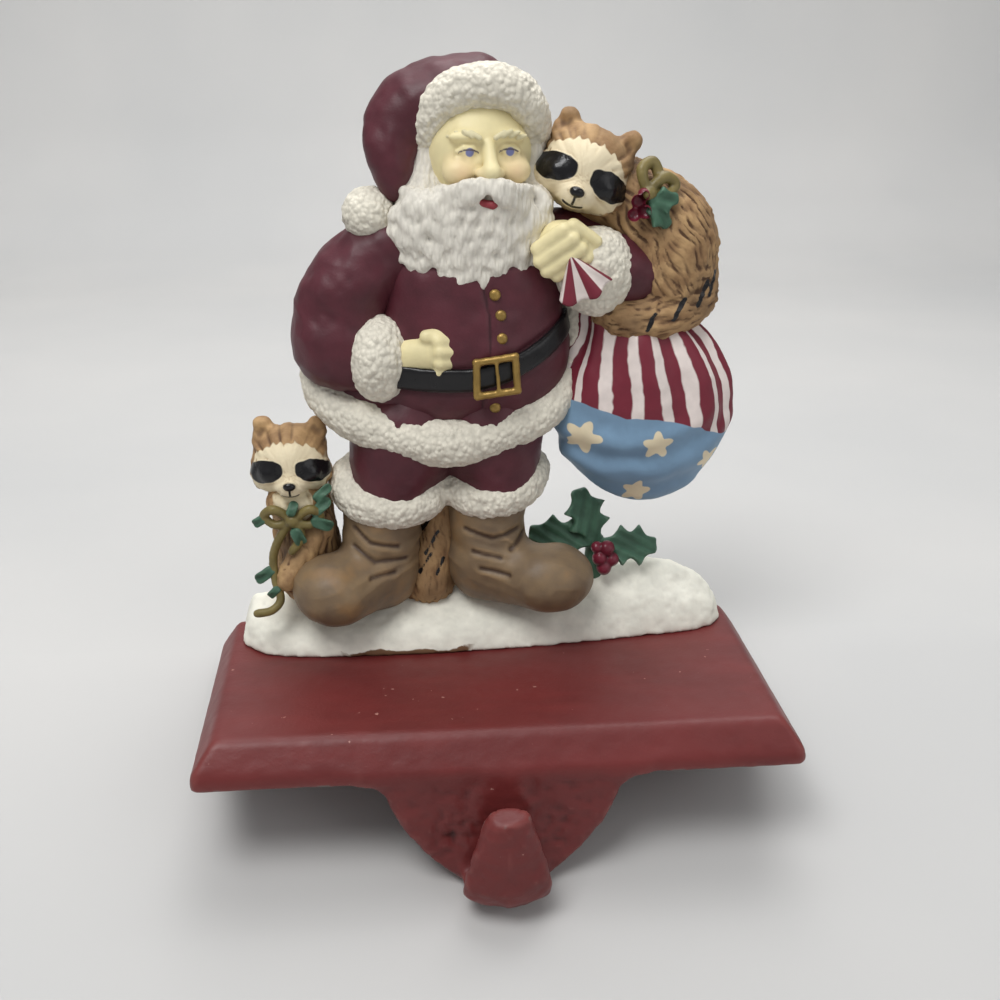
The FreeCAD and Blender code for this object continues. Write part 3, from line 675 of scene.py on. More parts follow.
def boot_paint():
    paint = Paint("boot_brown", 0.5)
    tone = paint.over(srgb(112, 94, 74), srgb(132, 110, 82), paint.noise(8.0, 5.0), 0.35, 0.66)
    tone = paint.over(tone, srgb(150, 116, 76), paint.noise(11.0, 3.0), 0.56, 0.8)
    # Painted highlight on the ridges and painted shade in the hollows
    tone = paint.over(tone, srgb(150, 124, 90), "hollow", -0.06, -0.3)
    tone = paint.over(tone, srgb(78, 60, 46), "hollow", 0.0, 0.22)
    paint.rough(paint.noise(3.0), 0.42, 0.6)
    paint.bump(paint.noise(0.7), 0.05)
    return paint.done(tone)


sculpt("boots", boots_field, (-56, 29, 19), (33, 66, 60), 0.5, boot_paint(), boot_skin)

# Coat and trousers
trousers_field = join(
    2.0,
    bone((-25, 52, 55), (-20.5, 52.5, 71), 11.6, 15.4),
    bone((3, 52, 56), (0.8, 52.5, 73), 11.2, 14.8),
)
coat_field = join(
    7.0,
    ball((-4.5, 51, 93), (26.5, 15.2, 16.5)),
    ball((-3, 51.8, 109), (23, 13.3, 15)),
    ball((-10.5, 53, 82), (31.5, 12.5, 10.5)),
    ball((-3, 53.5, 119), (18, 10.5, 8)),
)
SEAM = [(76, -1.6), (84, -1.3), (98, 0.4), (104, 0.2), (111, -1.2)]


def cloth_skin(p, n):
    """Soft folds, and the front edge of the coat."""
    fold = [p[0] * 0.8, p[1] * 0.8, p[2] * 0.5]
    d = 0.75 * noise(fold, 8.0, 31) + 0.22 * noise(p, 3.2, 32)
    seam = p[0] - curve_in(p[2], SEAM)
    front = np.clip((48.0 - p[1]) / 4.0, 0, 1) * (np.abs(p[2] - 94) < 21)
    d = d + front * (0.3 / (1 + np.exp(-seam * 3.0)) - 0.55 * np.exp(-(seam / 0.5) ** 2))
    waist = np.abs(p[2] - belt_height(p[0]))
    return d - 0.5 * np.exp(-((waist - 3.2) / 0.9) ** 2) * front


def belt_height(x):
    return 88.2 + np.where(x > -8, 0.0145, 0.003) * (x + 8.0) ** 2


cloth = painted("burgundy", BURGUNDY, 0.45, 1.25, 7.0, (0.36, 0.58), 0.6, 0.05, (0.0, 0.3))
sculpt("trousers", trousers_field, (-41, 36, 53), (18, 69, 82), 0.6, cloth,
       lambda p, n: 0.5 * noise(p, 7.0, 30) + 0.15 * noise(p, 2.5, 33))
sculpt("coat", coat_field, (-44, 34, 70), (25, 68, 129), 0.55, cloth, cloth_skin)

left_sleeve = tube([
    (-24, 53, 118, 9.5), (-32.5, 52.5, 111, 10.6), (-37.8, 51.5, 100, 10.8), (-37.0, 49.0, 93.5, 9.6),
    (-31, 46.0, 92.5, 6.5)], 2.0, 3)
right_sleeve = tube([
    (17, 54, 119, 9.0), (28, 54, 116.5, 9.4), (36.0, 51.5, 112.5, 9.4), (34.0, 48.5, 113.0, 7.6),
    (29, 47.0, 113.5, 5.5)], 2.0, 3)


def sleeve_skin(p, n):
    ease = [p[0] * 0.7, p[1] * 0.7, p[2] * 0.9]
    crease = 1.0 - 2.0 * np.abs(noise([p[0] * 0.6, p[1] * 0.5, p[2] + 0.5 * p[0]], 6.0, 43))
    return 0.5 * noise(ease, 5.5, 41) + 0.2 * noise(p, 2.4, 42) + 0.45 * crease


sculpt("sleeves", lambda p: np.minimum(left_sleeve(p), right_sleeve(p)), (-51, 33, 80), (49, 67, 131), 0.55,
       cloth, sleeve_skin)

# White fur trim
fur = shaggy("white_fur", WHITE_FUR, 1.25, (1.0, 1.0, 0.8), 0.55, 0.55)


def fur_skin(p, n):
    """Short tufts pressed close together."""
    return 0.6 * (bumps(p, 1.9, 3) - 0.5) + 0.15 * noise(p, 0.9, 5) + 0.2 * noise(p, 4.0, 6)


hem_front = tube([
    (-42.5, 56, 86.5, 4.8), (-41.0, 52, 81.5, 5.3), (-34.8, 47.5, 77, 5.7), (-26, 44.4, 73.8, 5.9),
    (-15, 42.4, 71, 6.0), (-5, 42.4, 71, 6.0), (6, 43.8, 74.2, 5.8), (14.5, 46.6, 77.8, 5.5),
    (20.2, 50, 82.4, 5.0), (22.6, 52.5, 88, 4.8), (23.6, 54, 95, 4.4), (23.8, 54.5, 103, 4.0)], 1.0, 4)
hem_back = tube([
    (-42.5, 56, 86.5, 4.8), (-36, 60.5, 87, 4.8), (-24, 62, 84, 5.0), (-9, 62.3, 82.5, 5.0),
    (6, 62, 83, 5.0), (16, 60, 86, 4.8), (22.6, 55, 90, 4.6)], 1.0, 4)
sculpt("hem_fur", lambda p: soft_min(hem_front(p), hem_back(p), 1.5), (-50, 35, 63), (31, 69, 109), 0.55,
       fur, fur_skin)
left_cuff = tube([
    (-25, 44.5, 52.2, 5.3), (-33, 46.5, 53.6, 5.1), (-36.6, 52, 57, 4.9), (-33, 58, 59, 4.8),
    (-25, 61, 60, 4.8), (-16.5, 58, 59, 4.8), (-13.5, 52, 57, 4.9), (-17, 46.5, 53.6, 5.1)], 1.0, 3, True)
right_cuff = tube([
    (0.8, 44.5, 53.8, 5.0), (-5.4, 47, 54.6, 4.8), (-7.5, 52, 57, 4.8), (-5.2, 58, 59.5, 4.7),
    (3, 61, 60.5, 4.7), (9.6, 58, 60.5, 4.7), (12.2, 52, 59.2, 4.8), (8.6, 47, 55.8, 5.0)], 1.0, 3, True)
sculpt("trouser_cuffs", lambda p: soft_min(left_cuff(p), right_cuff(p), 1.2), (-44, 36, 44), (20, 69, 68),
       0.5, fur, fur_skin)
wrist_fur = join(
    1.5,
    ball((-26.6, 45.0, 92.4), (7.9, 10.4, 11.0), (0, 0, -22)),
    ball((27.2, 44.0, 113.6), (10.0, 7.8, 11.0), (0, 10, 12)),
)
sculpt("wrist_fur", wrist_fur, (-37, 32, 79), (40, 58, 127), 0.5, fur, fur_skin)

# Belt, buckle and buttons
def belt_field(p):
    band = soft_max(coat_field(p) - 1.15, -coat_field(p) - 1.0, 0.3)
    return soft_max(band, np.abs(p[2] - belt_height(p[0])) - 3.1, 0.7)


black = painted("black_enamel", BLACK, 0.5, 1.1, 5.0, (0.24, 0.36), 0.8, 0.04)
gold = painted("gold_paint", GOLD, 0.4, 1.3, 3.0, (0.3, 0.45), 0.5, 0.05, (0.0, 0.14), 0.55)
sculpt("belt", belt_field, (-33, 33, 83), (27, 70, 104), 0.5, black, ripple(0.12, 3.0, 51))
BUCKLE = [(-3.4, 93.2), (6.2, 94.6), (6.9, 86.0), (-3.2, 84.6)]
BUCKLE_Y = touch(coat_field, 1.5, 89.5) - 1.9
buckle = join(
    0.5,
    tube([(x, BUCKLE_Y, z, 0.95) for x, z in BUCKLE], 0.5, closed=True),
    bone((1.5, BUCKLE_Y - 0.4, 93.6), (2.2, BUCKLE_Y - 0.4, 86.0), 0.5, 0.5),
)
BUTTONS = [(1.5, 109.2), (2.9, 104.2), (3.1, 98.6), (1.6, 80.4)]
buttons = join(0.2, *[
    ball((x, touch(coat_field, x, z) - 0.3, z), (1.5, 1.0, 1.5)) for x, z in BUTTONS])
sculpt("buckle", buckle, (-6, 28, 82), (9, 40, 98), 0.28, gold, ripple(0.08, 1.4, 52))
sculpt("buttons", buttons, (-1, 30, 77), (6, 44, 113), 0.28, gold)

# Hands
left_fist = join(
    1.0,
    bone((-22, 43, 93.2), (-15.5, 40.5, 94.6), 4.4, 4.6),
    ball((-13.2, 40.6, 94.6), (4.8, 4.4, 5.6)),
    bone((-12.6, 36.8, 98.4), (-8.6, 38.6, 98.0), 1.65, 1.5),
    bone((-12.2, 36.0, 95.7), (-8.0, 37.9, 95.4), 1.7, 1.55),
    bone((-12.2, 36.0, 92.9), (-8.2, 37.9, 92.8), 1.65, 1.5),
    bone((-12.4, 36.8, 90.4), (-8.9, 38.4, 90.4), 1.5, 1.35),
    bone((-15.5, 37.5, 99.4), (-9.8, 39.0, 100.2), 1.7, 1.3),
)
right_fist = join(
    1.0,
    bone((27, 43, 117), (20.5, 42, 120.5), 5.2, 5.4),
    ball((18.2, 42.3, 120.6), (6.2, 4.8, 6.0), (0, 20, 0)),
    bone((11.8, 38.8, 120.2), (18.0, 36.9, 125.2), 1.7, 1.7),
    bone((12.4, 38.3, 117.2), (20.2, 36.3, 122.9), 1.75, 1.75),
    bone((14.2, 38.4, 114.8), (22.2, 36.6, 120.4), 1.7, 1.7),
    bone((16.8, 38.8, 113.4), (23.8, 37.4, 118.0), 1.55, 1.5),
    bone((20.5, 38.2, 125.8), (26.4, 38.4, 122.0), 1.8, 1.4),
)
skin_paint = painted("flesh", FLESH, 0.72, 1.04, 5.0, (0.4, 0.55), 0.6, 0.03, (-0.01, 0.16))
sculpt("hands", lambda p: np.minimum(left_fist(p), right_fist(p)), (-28, 32, 86), (34, 50, 130), 0.36,
       skin_paint, ripple(0.05, 1.6, 61))

# Head: a plain face on even proportions, turned a little to the right
HEAD = (-1.4, 52.0, 142.6)
HEAD_TURN = (0.0, 0.0, 8.0)
EYE_X = 4.9
face_local = carve(
    1.4,
    join(
        1.6,
        ball((0, 0, 0), (13.2, 12.6, 15.0)),
        *both(5.0, -10.4, 3.9, (4.4, 2.0, 1.5)),
        *both(6.4, -9.4, -4.2, (4.4, 3.8, 3.6)),
    ),
    *both(EYE_X, -14.0, 0.5, (3.3, 3.2, 2.3)),
)
features_local = join(
    0.9,
    bone((0, -12.2, 2.2), (0, -14.6, -3.4), 1.2, 1.9),
    ball((0, -15.0, -4.0), (2.2, 2.2, 2.0)),
    *both(2.1, -13.5, -4.4, (1.5, 1.7, 1.3)),
)


def eyelids(front, height, curl, radius, places):
    """Lids over or under both eyes, as bars between places across each eye."""
    return join(0.5, *[
        bone(*[(side * EYE_X + c, front + 0.09 * c * c, height + curl * c * c) for c in span], radius, radius)
        for side in (-1, 1) for span in zip(places, places[1:])])


eyes_local = join(0.3, *both(EYE_X, -9.6, 0.3, 2.5))
lids_local = eyelids(-11.6, 1.4, -0.13, 0.55, (-2.7, -1.0, 1.0, 2.7))
lower_local = eyelids(-11.4, -1.5, 0.1, 0.45, (-2.5, 0.0, 2.5))


def head_local(p):
    d = soft_min(face_local(p), features_local(p), 1.2)
    d = soft_min(d, eyes_local(p), 0.3)
    return soft_min(d, soft_min(lids_local(p), lower_local(p), 0.4), 0.7)


def face_paint(p, n):
    q = turned(p, HEAD, HEAD_TURN)
    front = q[1] < -8
    iris = line = np.full(q[0].shape, -9.0)
    for side in (-1, 1):
        dx = q[0] - side * EYE_X
        iris = np.maximum(iris, 1.05 - np.hypot(dx - 0.3, q[2] - 0.35))
        arc = np.abs(q[2] - (1.0 - 0.13 * dx * dx))
        line = np.maximum(line, 0.22 - arc - 9.0 * np.clip(np.abs(dx) - 2.5, 0, 1))
    cheek = 3.6 - np.hypot(np.abs(q[0]) - 6.6, q[2] + 4.2)
    masks = {"iris": iris, "line": line, "cheek": cheek}
    return {key: np.where(front, mask, -9) for key, mask in masks.items()}


def face_material():
    paint = Paint("face", 0.48)
    tone = paint.over(shade(FLESH, 0.95), shade(FLESH, 1.04), paint.noise(5.0), 0.35, 0.65)
    tone = paint.over(tone, srgb(236, 200, 158), "cheek", -2.0, 6.0)
    # Painted shade: the flesh darkens in the hollows
    tone = paint.over(tone, srgb(198, 178, 126), "hollow", 0.0, 0.2)
    tone = paint.over(tone, srgb(122, 128, 176), "iris", -0.12, 0.12)
    tone = paint.over(tone, srgb(92, 82, 92), "line", -0.1, 0.1)
    paint.rough(paint.noise(2.5), 0.4, 0.55)
    paint.bump(paint.noise(0.7, 3.0), 0.02)
    return paint.done(tone)


sculpt("face", placed(head_local, HEAD, HEAD_TURN), (-17, 33, 126), (15, 67, 160), 0.33,
       face_material(), ripple(0.04, 1.6, 62), face_paint, 1)

# Beard, moustache, hair and eyebrows
LOCKS = []
rng = np.random.default_rng(5)
for row, (height, reach, count) in enumerate((
        (130.5, 17.0, 13), (126.5, 17.6, 14), (122.5, 17.0, 13), (118.6, 14.5, 11), (115.4, 10.0, 8))):
    for i in range(count):
        share = 2 * (i + 0.5) / count - 1
        x = -3.6 + reach * math.sin(share * 1.45)
        y = 47.6 - 8.7 * math.cos(share * 1.45) + 0.45 * row
        swing = rng.choice((-1.0, 1.0)) * rng.uniform(1.2, 2.2)
        long = rng.uniform(6.0, 8.0)
        lean = 2.2 * share
        LOCKS.append(smooth_path([
            (x, y + 0.4, height + 3.0, 1.3), (x + swing + 0.3 * lean, y - 0.5, height, 1.75),
            (x - 0.6 * swing + 0.6 * lean, y - 0.6, height - 0.45 * long, 1.6),
            (x + 0.7 * swing + lean, y + 0.2, height - 0.85 * long, 0.9)], 3))
beard_body = join(
    4.0,
    ball((-3.6, 48.5, 123.5), (17.6, 9.2, 11.5)),
    ball((-15.5, 50.5, 129), (7.0, 7.2, 8.5)),
    ball((9.5, 50.5, 128.5), (6.8, 7.0, 8.0)),
    ball((-2.5, 43.4, 129.4), (12.0, 5.2, 5.0)),
    bone((-14.4, 50.5, 133), (-13.6, 50.8, 146), 4.0, 3.4),
    bone((11.8, 51.5, 133), (12.0, 51.5, 146), 3.4, 3.0),
    ball((-2.0, 60.0, 138), (13.5, 7.0, 13.0)),
)
moustache = join(0.5, *[
    tube([
        (-0.4 + side * 0.9, 36.6 - 0.3 * k, 136.6 - 0.75 * k, 1.1),
        (-0.6 + side * 4.0, 36.3, 135.8 - 1.15 * k, 1.35),
        (-0.8 + side * 7.8, 38.4 + 0.2 * k, 134.4 - 1.35 * k, 1.3),
        (-0.8 + side * 11.4, 41.6 + 0.4 * k, 134.6 - 2.1 * k, 0.8)], 0.5, 3)
    for side in (-1, 1) for k in (0.0, 1.0, 2.0, 3.0)])
brow_locks = join(0.4, *[
    bone((-0.1 + side * (1.9 + 1.8 * i), 38.6 + 0.55 * i * i * 0.5, 146.3 + 0.7 * i - 0.25 * i * i),
         (-0.1 + side * (3.9 + 1.8 * i), 38.9 + 0.75 * i * i * 0.5, 147.7 + 0.5 * i - 0.3 * i * i), 0.75, 0.5)
    for side in (-1, 1) for i in range(4)])
locks = join(0.7, *[bone(a[:3], b[:3], a[3], b[3]) for lock in LOCKS for a, b in zip(lock, lock[1:])])


def beard_field(p):
    return soft_min(soft_min(beard_body(p), locks(p), 1.0), moustache(p), 0.8)


def beard_skin(p, n):
    warp = 1.8 * noise(p, 5.0, 71)
    strand = noise([p[0] + warp, p[1] + warp, p[2] * 0.3], 0.95, 72)
    return 0.24 * strand + 0.4 * (bumps([p[0] + warp, p[1], p[2] * 0.6], 2.3, 73) - 0.5)


beard_paint = shaggy("beard", BEARD_WHITE, 0.95, (1.0, 1.0, 0.28), 0.4, 0.6)
sculpt("beard", beard_field, (-27, 32, 107), (22, 69, 154), 0.5, beard_paint, beard_skin)
lip = tube([(-2.2, 37.4, 131.6, 0.9), (0.9, 37.0, 131.0, 1.0), (3.2, 37.6, 131.8, 0.8)], 0.5)
sculpt("mouth", lip, (-5, 34, 128), (6, 41, 135), 0.25,
       painted("lip_red", srgb(150, 58, 66), 0.6, 1.15, 2.0, (0.35, 0.5)))
sculpt("brows", brow_locks, (-11, 34, 143), (11, 44, 151), 0.25,
       painted("brow_cream", srgb(226, 216, 176), 0.7, 1.04, 3.0, (0.55, 0.7)))

# Hat
hat_field = tube([
    (-3, 57, 152.3, 12.6), (-10, 56, 152.8, 10.8), (-17, 55, 151.5, 8.8), (-21.6, 53.5, 148, 6.9),
    (-22.9, 51, 143, 5.6), (-22.5, 49.5, 138, 4.4), (-22.8, 48.8, 133.5, 3.0)], 4.0)


def hat_skin(p, n):
    lean = [p[0] + 0.5 * p[2], p[1] * 0.8, 0.35 * p[2]]
    return 0.7 * noise(lean, 5.5, 81) + 0.2 * noise(p, 2.5, 82)


sculpt("hat", hat_field, (-32, 41, 128), (12, 71, 168), 0.5, cloth, hat_skin)
hat_trim = tube([
    (0.6, 44.2, 158.0, 4.9), (-7.4, 45.5, 156.2, 4.8), (-12.8, 48.5, 150.8, 4.5), (-14.6, 52.5, 144, 4.2),
    (-12, 60, 139, 4.2), (-1.5, 65, 137, 4.2), (9, 61, 140, 4.2), (11.8, 54, 145, 4.2),
    (10.9, 48.8, 150.8, 4.4), (7.4, 45.6, 155.8, 4.8)], 1.0, 4, True)
sculpt("hat_trim", hat_trim, (-22, 37, 130), (19, 71, 166), 0.5, fur, fur_skin)
sculpt("pompom", ball((-28.6, 50, 127.6), (6.6, 6.4, 6.5)), (-37, 42, 119), (-20, 58, 136), 0.45,
       fur, fur_skin)

# Sack
NECK = (36.5, 51.5, 132.0)
SACK = (41.4, 51.8, 77.0)
SACK_AXIS = Vector([NECK[i] - SACK[i] for i in range(3)]).normalized()
SACK_OVAL = (24.0, 13.8)
SACK_SIDE = SACK_AXIS.cross(Vector((0, 1, 0))).normalized()
SACK_FRONT = SACK_AXIS.cross(SACK_SIDE)
STRIPES = 18


def sack_angle(p):
    q = [p[i] - NECK[i] for i in range(3)]
    a = sum(q[i] * SACK_SIDE[i] for i in range(3))
    b = sum(q[i] * SACK_FRONT[i] for i in range(3))
    return np.arctan2(a / SACK_OVAL[0], b / SACK_OVAL[1]), np.hypot(a, b)


sack_field = join(
    5.0,
    ball(SACK, (24.0, 13.8, 26.2), (0, -8, 0)),
    bone((40, 53, 88), (33, 52.5, 102), 12.0, 8.5),
)
# Lower edge of the stripes as (x, z), and stars as (x, z, size, turn)
BLUE_EDGE = [
    (14, 83), (23.5, 80.2), (29.4, 78.3), (35.5, 76.6), (43, 76.8), (51.8, 74.4), (61, 70.6), (66, 70)]
STARS = [
    (24.6, 71.0, 5.2, 20), (43.5, 69.4, 4.4, 0), (58.6, 63.2, 3.8, 40), (39.5, 54.8, 4.2, 10),
    (21.4, 58.4, 3.4, 50)]


def sack_skin(p, n):
    """Pleats below the neck, and folds round the bottom."""
    angle, _ = sack_angle(p)
    above = np.clip((p[2] - curve_in(p[0], BLUE_EDGE) + 6) / 14.0, 0, 1)
    pleat = np.cos(0.5 * STRIPES * (angle + 0.08 * noise(p, 9.0, 91)))
    low = np.clip((80 - p[2]) / 8.0, 0, 1)
    fold = np.sin(0.55 * (p[2] - 0.014 * (p[0] - 34) ** 2) + 2.2 * noise(p, 12.0, 92))
    return above * 0.8 * pleat + low * 0.55 * fold + 0.25 * noise(p, 5.0, 93) + 0.06 * noise(p, 1.6, 94)


def sack_paint(p, n):
    angle, out = sack_angle(p)
    wander = 0.06 * noise(p, 9.0, 95) + 0.012 * noise(p, 1.5, 96)
    stripe = (np.cos(STRIPES * (angle + wander)) + 0.3) * out / STRIPES
    blue = curve_in(p[0], BLUE_EDGE) + 0.5 * noise(p, 2.5, 97) - p[2]
    star = np.full(blue.shape, -9.0)
    for x, z, size, turn in STARS:
        dx, dz = p[0] - x, p[2] - z
        ray = np.cos(5 * (np.arctan2(dx, dz) - math.radians(turn)))
        star = np.maximum(star, size * (0.74 + 0.2 * ray) - np.hypot(dx, dz) + 0.3 * noise(p, 1.6, 98))
    return {"stripe": stripe, "blue": blue, "star": np.where(np.abs(n[:, 1]) > 0.5, star, -9.0)}


sack_material = two_tone(
    "sack_paint", SACK_WHITE, [("stripe", STRIPE_RED), ("blue", BLUE), ("star", CREAM)], (0.42, 0.6), 0.7,
    hollow_shade=(0.02, 0.3))
sculpt("sack", sack_field, (10, 29, 47), (70, 70, 115), 0.5, sack_material, sack_skin,
       sack_paint, 2)

FAN = (19.4, 119.5)
FAN_PLEATS = 11.0


def fan_place(p):
    """Angle and reach from the hand that gathers the sack."""
    dx, dz = p[0] - FAN[0], FAN[1] - p[2]
    return np.arctan2(dx, dz), np.hypot(dx, dz)


def fan_field(p):
    """Gathered end of the sack, spread out below the hand."""
    angle, reach = fan_place(p)
    ridge = 0.55 * np.cos(FAN_PLEATS * angle) * np.clip(reach / 10.0, 0, 1)
    sheet = np.abs(p[1] - 37.0 + 0.12 * reach + ridge) - 1.5
    sides = np.abs(angle - 0.42) * reach - 0.62 * reach
    end = reach - 12.2 - 0.5 * np.cos(FAN_PLEATS * angle)
    return soft_max(sheet, soft_max(sides, end, 0.5), 0.8)


def fan_paint(p, n):
    angle, reach = fan_place(p)
    return {"stripe": (np.cos(FAN_PLEATS * angle) + 0.1) * reach / FAN_PLEATS}


fan_material = two_tone("fan_paint", SACK_WHITE, [("stripe", STRIPE_RED)], (0.45, 0.6), 0.7, edge=0.08)
sculpt("sack_fan", fan_field, (12, 30, 104), (35, 42, 121), 0.3, fan_material, None,
       fan_paint)


# Raccoons
def strands(p, start, end, width, seed):
    """Hair grooves that run along a line from start to end."""
    axis = Vector(end) - Vector(start)
    axis.normalize()
    side = axis.orthogonal().normalized()
    other = axis.cross(side)
    q = [p[i] - start[i] for i in range(3)]
    along, a, b = [sum(q[i] * v[i] for i in range(3)) for v in (axis, side, other)]
    swirl = 1.2 * noise(p, 5.0, seed + 1)
    flow = [along * 0.22, a + swirl, b + swirl]
    return noise(flow, width, seed) + 0.6 * noise([c * 1.9 for c in flow], width, seed + 2)


head_form = join(
    2.2,
    ball((0, 0, 0.6), (10.6, 9.2, 9.4)),
    *both(6.2, -1.6, -2.6, (5.2, 5.6, 4.4)),
    ball((0, -7.6, -3.8), (4.4, 4.4, 3.4)),
    ball((0, -6.4, 2.6), (3.6, 3.2, 4.6)),
    ball((0, 0.4, 3.0), (9.4, 8.6, 8.2)),
    *both(5.6, -6.9, -0.6, (2.4, 2.2, 2.0)),
)
ears_form = carve(
    1.2,
    join(1.5, *[bone((side * 6.4, 2.2, 6.6), (side * 7.6, 2.8, 10.4), 4.2, 2.7) for side in (-1, 1)]),
    *both(7.6, -1.6, 9.8, (2.1, 2.4, 2.4)),
)
nose_form = ball((0, -11.9, -2.9), (1.7, 1.2, 1.2))


def raccoon_head(p):
    return soft_min(soft_min(head_form(p), ears_form(p), 1.6), nose_form(p), 0.4)


HEADS = [
    ("shoulder_raccoon_head", 111, (24.3, 50.4, 136.6), (0.0, 21.0, -9.0), 1.06),
    ("seated_raccoon_head", 112, (-51.2, 51.5, 63.0), (0.0, -1.0, 0.0), 0.93),
]


def head_masks(p, place, turn, scale):
    """Cream face, and black round the eyes, on the nose and on the mouth's line."""
    q = [c / scale for c in turned(p, place, turn)]
    front = q[1] < -1.5
    ragged = 0.9 * noise([q[0] * 1.6, q[1], q[2] * 0.7], 1.6, 101)
    cream = 8.9 - np.hypot(q[0] * 0.84, (q[2] + 0.6) * 1.02) + ragged
    black = np.full(q[0].shape, -9.0)
    for side in (-1, 1):
        dx, dz = q[0] - side * 6.5, q[2] - 0.2
        turn_in = 0.3 * side
        a = dx * math.cos(turn_in) - dz * math.sin(turn_in)
        b = dx * math.sin(turn_in) + dz * math.cos(turn_in)
        black = np.maximum(black, 3.1 * (1 - np.hypot(a / 5.2, b / 3.1)) + 0.25 * noise(q, 1.4, 102))
    nose = 1.5 - np.hypot(q[0] * 0.85, (q[2] + 2.9) * 1.25)
    line = np.maximum(0.32 - np.hypot(q[0], np.clip(np.abs(q[2] + 4.9) - 1.0, 0, 9)),
                      0.34 - np.hypot(np.clip(np.abs(q[0]) - 2.2, 0, 9), q[2] + 6.5 - 0.09 * q[0] ** 2))
    snout = q[1] < -8.0
    black = np.maximum(black, np.where(snout, np.maximum(nose, line), -9))
    near = np.hypot(np.hypot(q[0], q[1]), q[2]) < 15.5
    return np.where(front & near, cream, -9.0) * scale, np.where(front & near, black, -9.0) * scale


def fur_material():
    paint = Paint("raccoon_fur", 0.7)
    tone = paint.over(srgb(140, 108, 74), srgb(184, 150, 106), paint.noise(4.5, 5.0), 0.36, 0.64)
    tone = paint.over(tone, srgb(108, 82, 58), paint.noise(9.0, 3.0), 0.5, 0.74)
    # Painted shade: fur and cream both darken in the hollows
    hollow = paint.ramp("hollow", -0.02, 0.16)
    tone = paint.mix(hollow, tone, srgb(84, 58, 38))
    pale = paint.mix(hollow, CREAM, srgb(190, 168, 132))
    tone = paint.over(tone, pale, "cream", -0.15, 0.15)
    ink = paint.ramp("black", -0.1, 0.1)
    paint.rough(ink, 0.72, 0.22)
    paint.bump(paint.noise(0.7), 0.1)
    return paint.done(paint.mix(ink, tone, BLACK))


animal = fur_material()
for name, seed, place, turn, scale in HEADS:
    low = [place[i] - (16.5, 14.5, 13.0)[i] * scale for i in range(3)]
    high = [place[i] + (16.5, 12.5, 15.5)[i] * scale for i in range(3)]

    def head_skin(p, n, seed=seed, place=place, turn=turn, scale=scale):
        q = [c / scale for c in turned(p, place, turn)]
        out = np.hypot(q[0], q[2]) + 1e-6
        spin = np.arctan2(q[0], q[2])
        groove = noise([spin * 9.0, 0.3 * out, 0 * out], 1.0, seed)
        cream, black = head_masks(p, place, turn, scale)
        depth = np.where(cream > 0, 0.14, 0.42)
        return np.where(black > -0.2, 0.12 + 0.05 * noise(p, 1.2, 113), depth * groove)

    def head_paint(p, n, place=place, turn=turn, scale=scale):
        return dict(zip(("cream", "black"), head_masks(p, place, turn, scale)))

    sculpt(name, placed(raccoon_head, place, turn, scale), low, high, 0.36, animal,
           head_skin, head_paint)

shoulder_body = tube([
    (30, 55, 132, 8.5), (40, 55.5, 127, 10.0), (46.5, 54.5, 121, 11.2), (47, 54, 113, 10.8),
    (45.5, 53.5, 106, 9.5)], 4.0, 3)
shoulder_tail = tube([
    (54.0, 54, 113, 5.0), (53.6, 50.5, 106, 5.6), (46.5, 47.5, 102.0, 5.9), (38, 46.5, 101.2, 5.6),
    (31, 46.5, 103.2, 4.6)], 1.5, 4)
# Rings on the tails, as brush marks
TAIL_MARKS = [
    (40.0, 99.2, 42.0, 103.2), (46.8, 101.6, 49.6, 106.4), (53.2, 104.6, 56.0, 110.2),
    (56.6, 106.8, 58.4, 112.4)]
LOW_MARKS = [
    (-15.2, 47.0, -17.2, 43.4), (-13.0, 43.6, -16.4, 37.6), (-15.0, 37.6, -18.2, 32.2),
    (-11.6, 36.0, -13.6, 31.4)]


def shoulder_field(p):
    return soft_min(shoulder_body(p), shoulder_tail(p), 0.8)


def shoulder_skin(p, n):
    body = strands(p, (30, 54, 136), (48, 54, 108), 1.15, 121)
    tail = strands(p, (56, 50, 106), (30, 46, 101), 1.15, 124)
    return 0.55 * np.where(p[2] > 107.5, body, tail)


def shoulder_paint(p, n):
    mark = stroke(p, TAIL_MARKS, 0.6) + 0.3 * noise(p, 1.2, 127)
    return {"cream": np.full(p[0].shape, -9.0), "black": np.where(p[1] < 53, mark, -9.0)}


sculpt("shoulder_raccoon", shoulder_field, (16, 38, 92), (63, 70, 147), 0.5, animal,
       shoulder_skin, shoulder_paint)
seated_field = join(
    2.5,
    bone((-49.8, 54, 55), (-47.5, 54.5, 32), 7.8, 9.4),
    ball((-50.6, 48.0, 53.2), (7.6, 5.2, 5.0)),
    bone((-44.8, 48.0, 46.0), (-51.8, 44.8, 35.0), 4.0, 3.5),
    ball((-53.4, 43.8, 33.0), (3.5, 3.2, 2.7), (0, -40, 0)),
    ball((-46.5, 49.0, 30.0), (8.0, 7.0, 6.0)),
)
low_tail = bone((-11, 55, 47), (-16, 55, 28), 6.0, 8.0)


def seated_skin(p, n):
    return 0.4 * strands(p, (-51, 52, 60), (-46, 52, 20), 1.15, 131)


def seated_paint(p, n):
    ruff = 5.2 - np.hypot(p[0] + 50.8, p[2] - 54.0) + noise(p, 1.6, 136)
    mark = stroke(p, LOW_MARKS, 0.42) + 0.35 * noise(p, 1.2, 137)
    return {"cream": np.where(p[1] < 47, ruff, -9.0), "black": mark}


sculpt("seated_raccoon", lambda p: np.minimum(seated_field(p), low_tail(p)), (-64, 38, 18), (-4, 68, 68),
       0.5, animal, seated_skin, seated_paint)


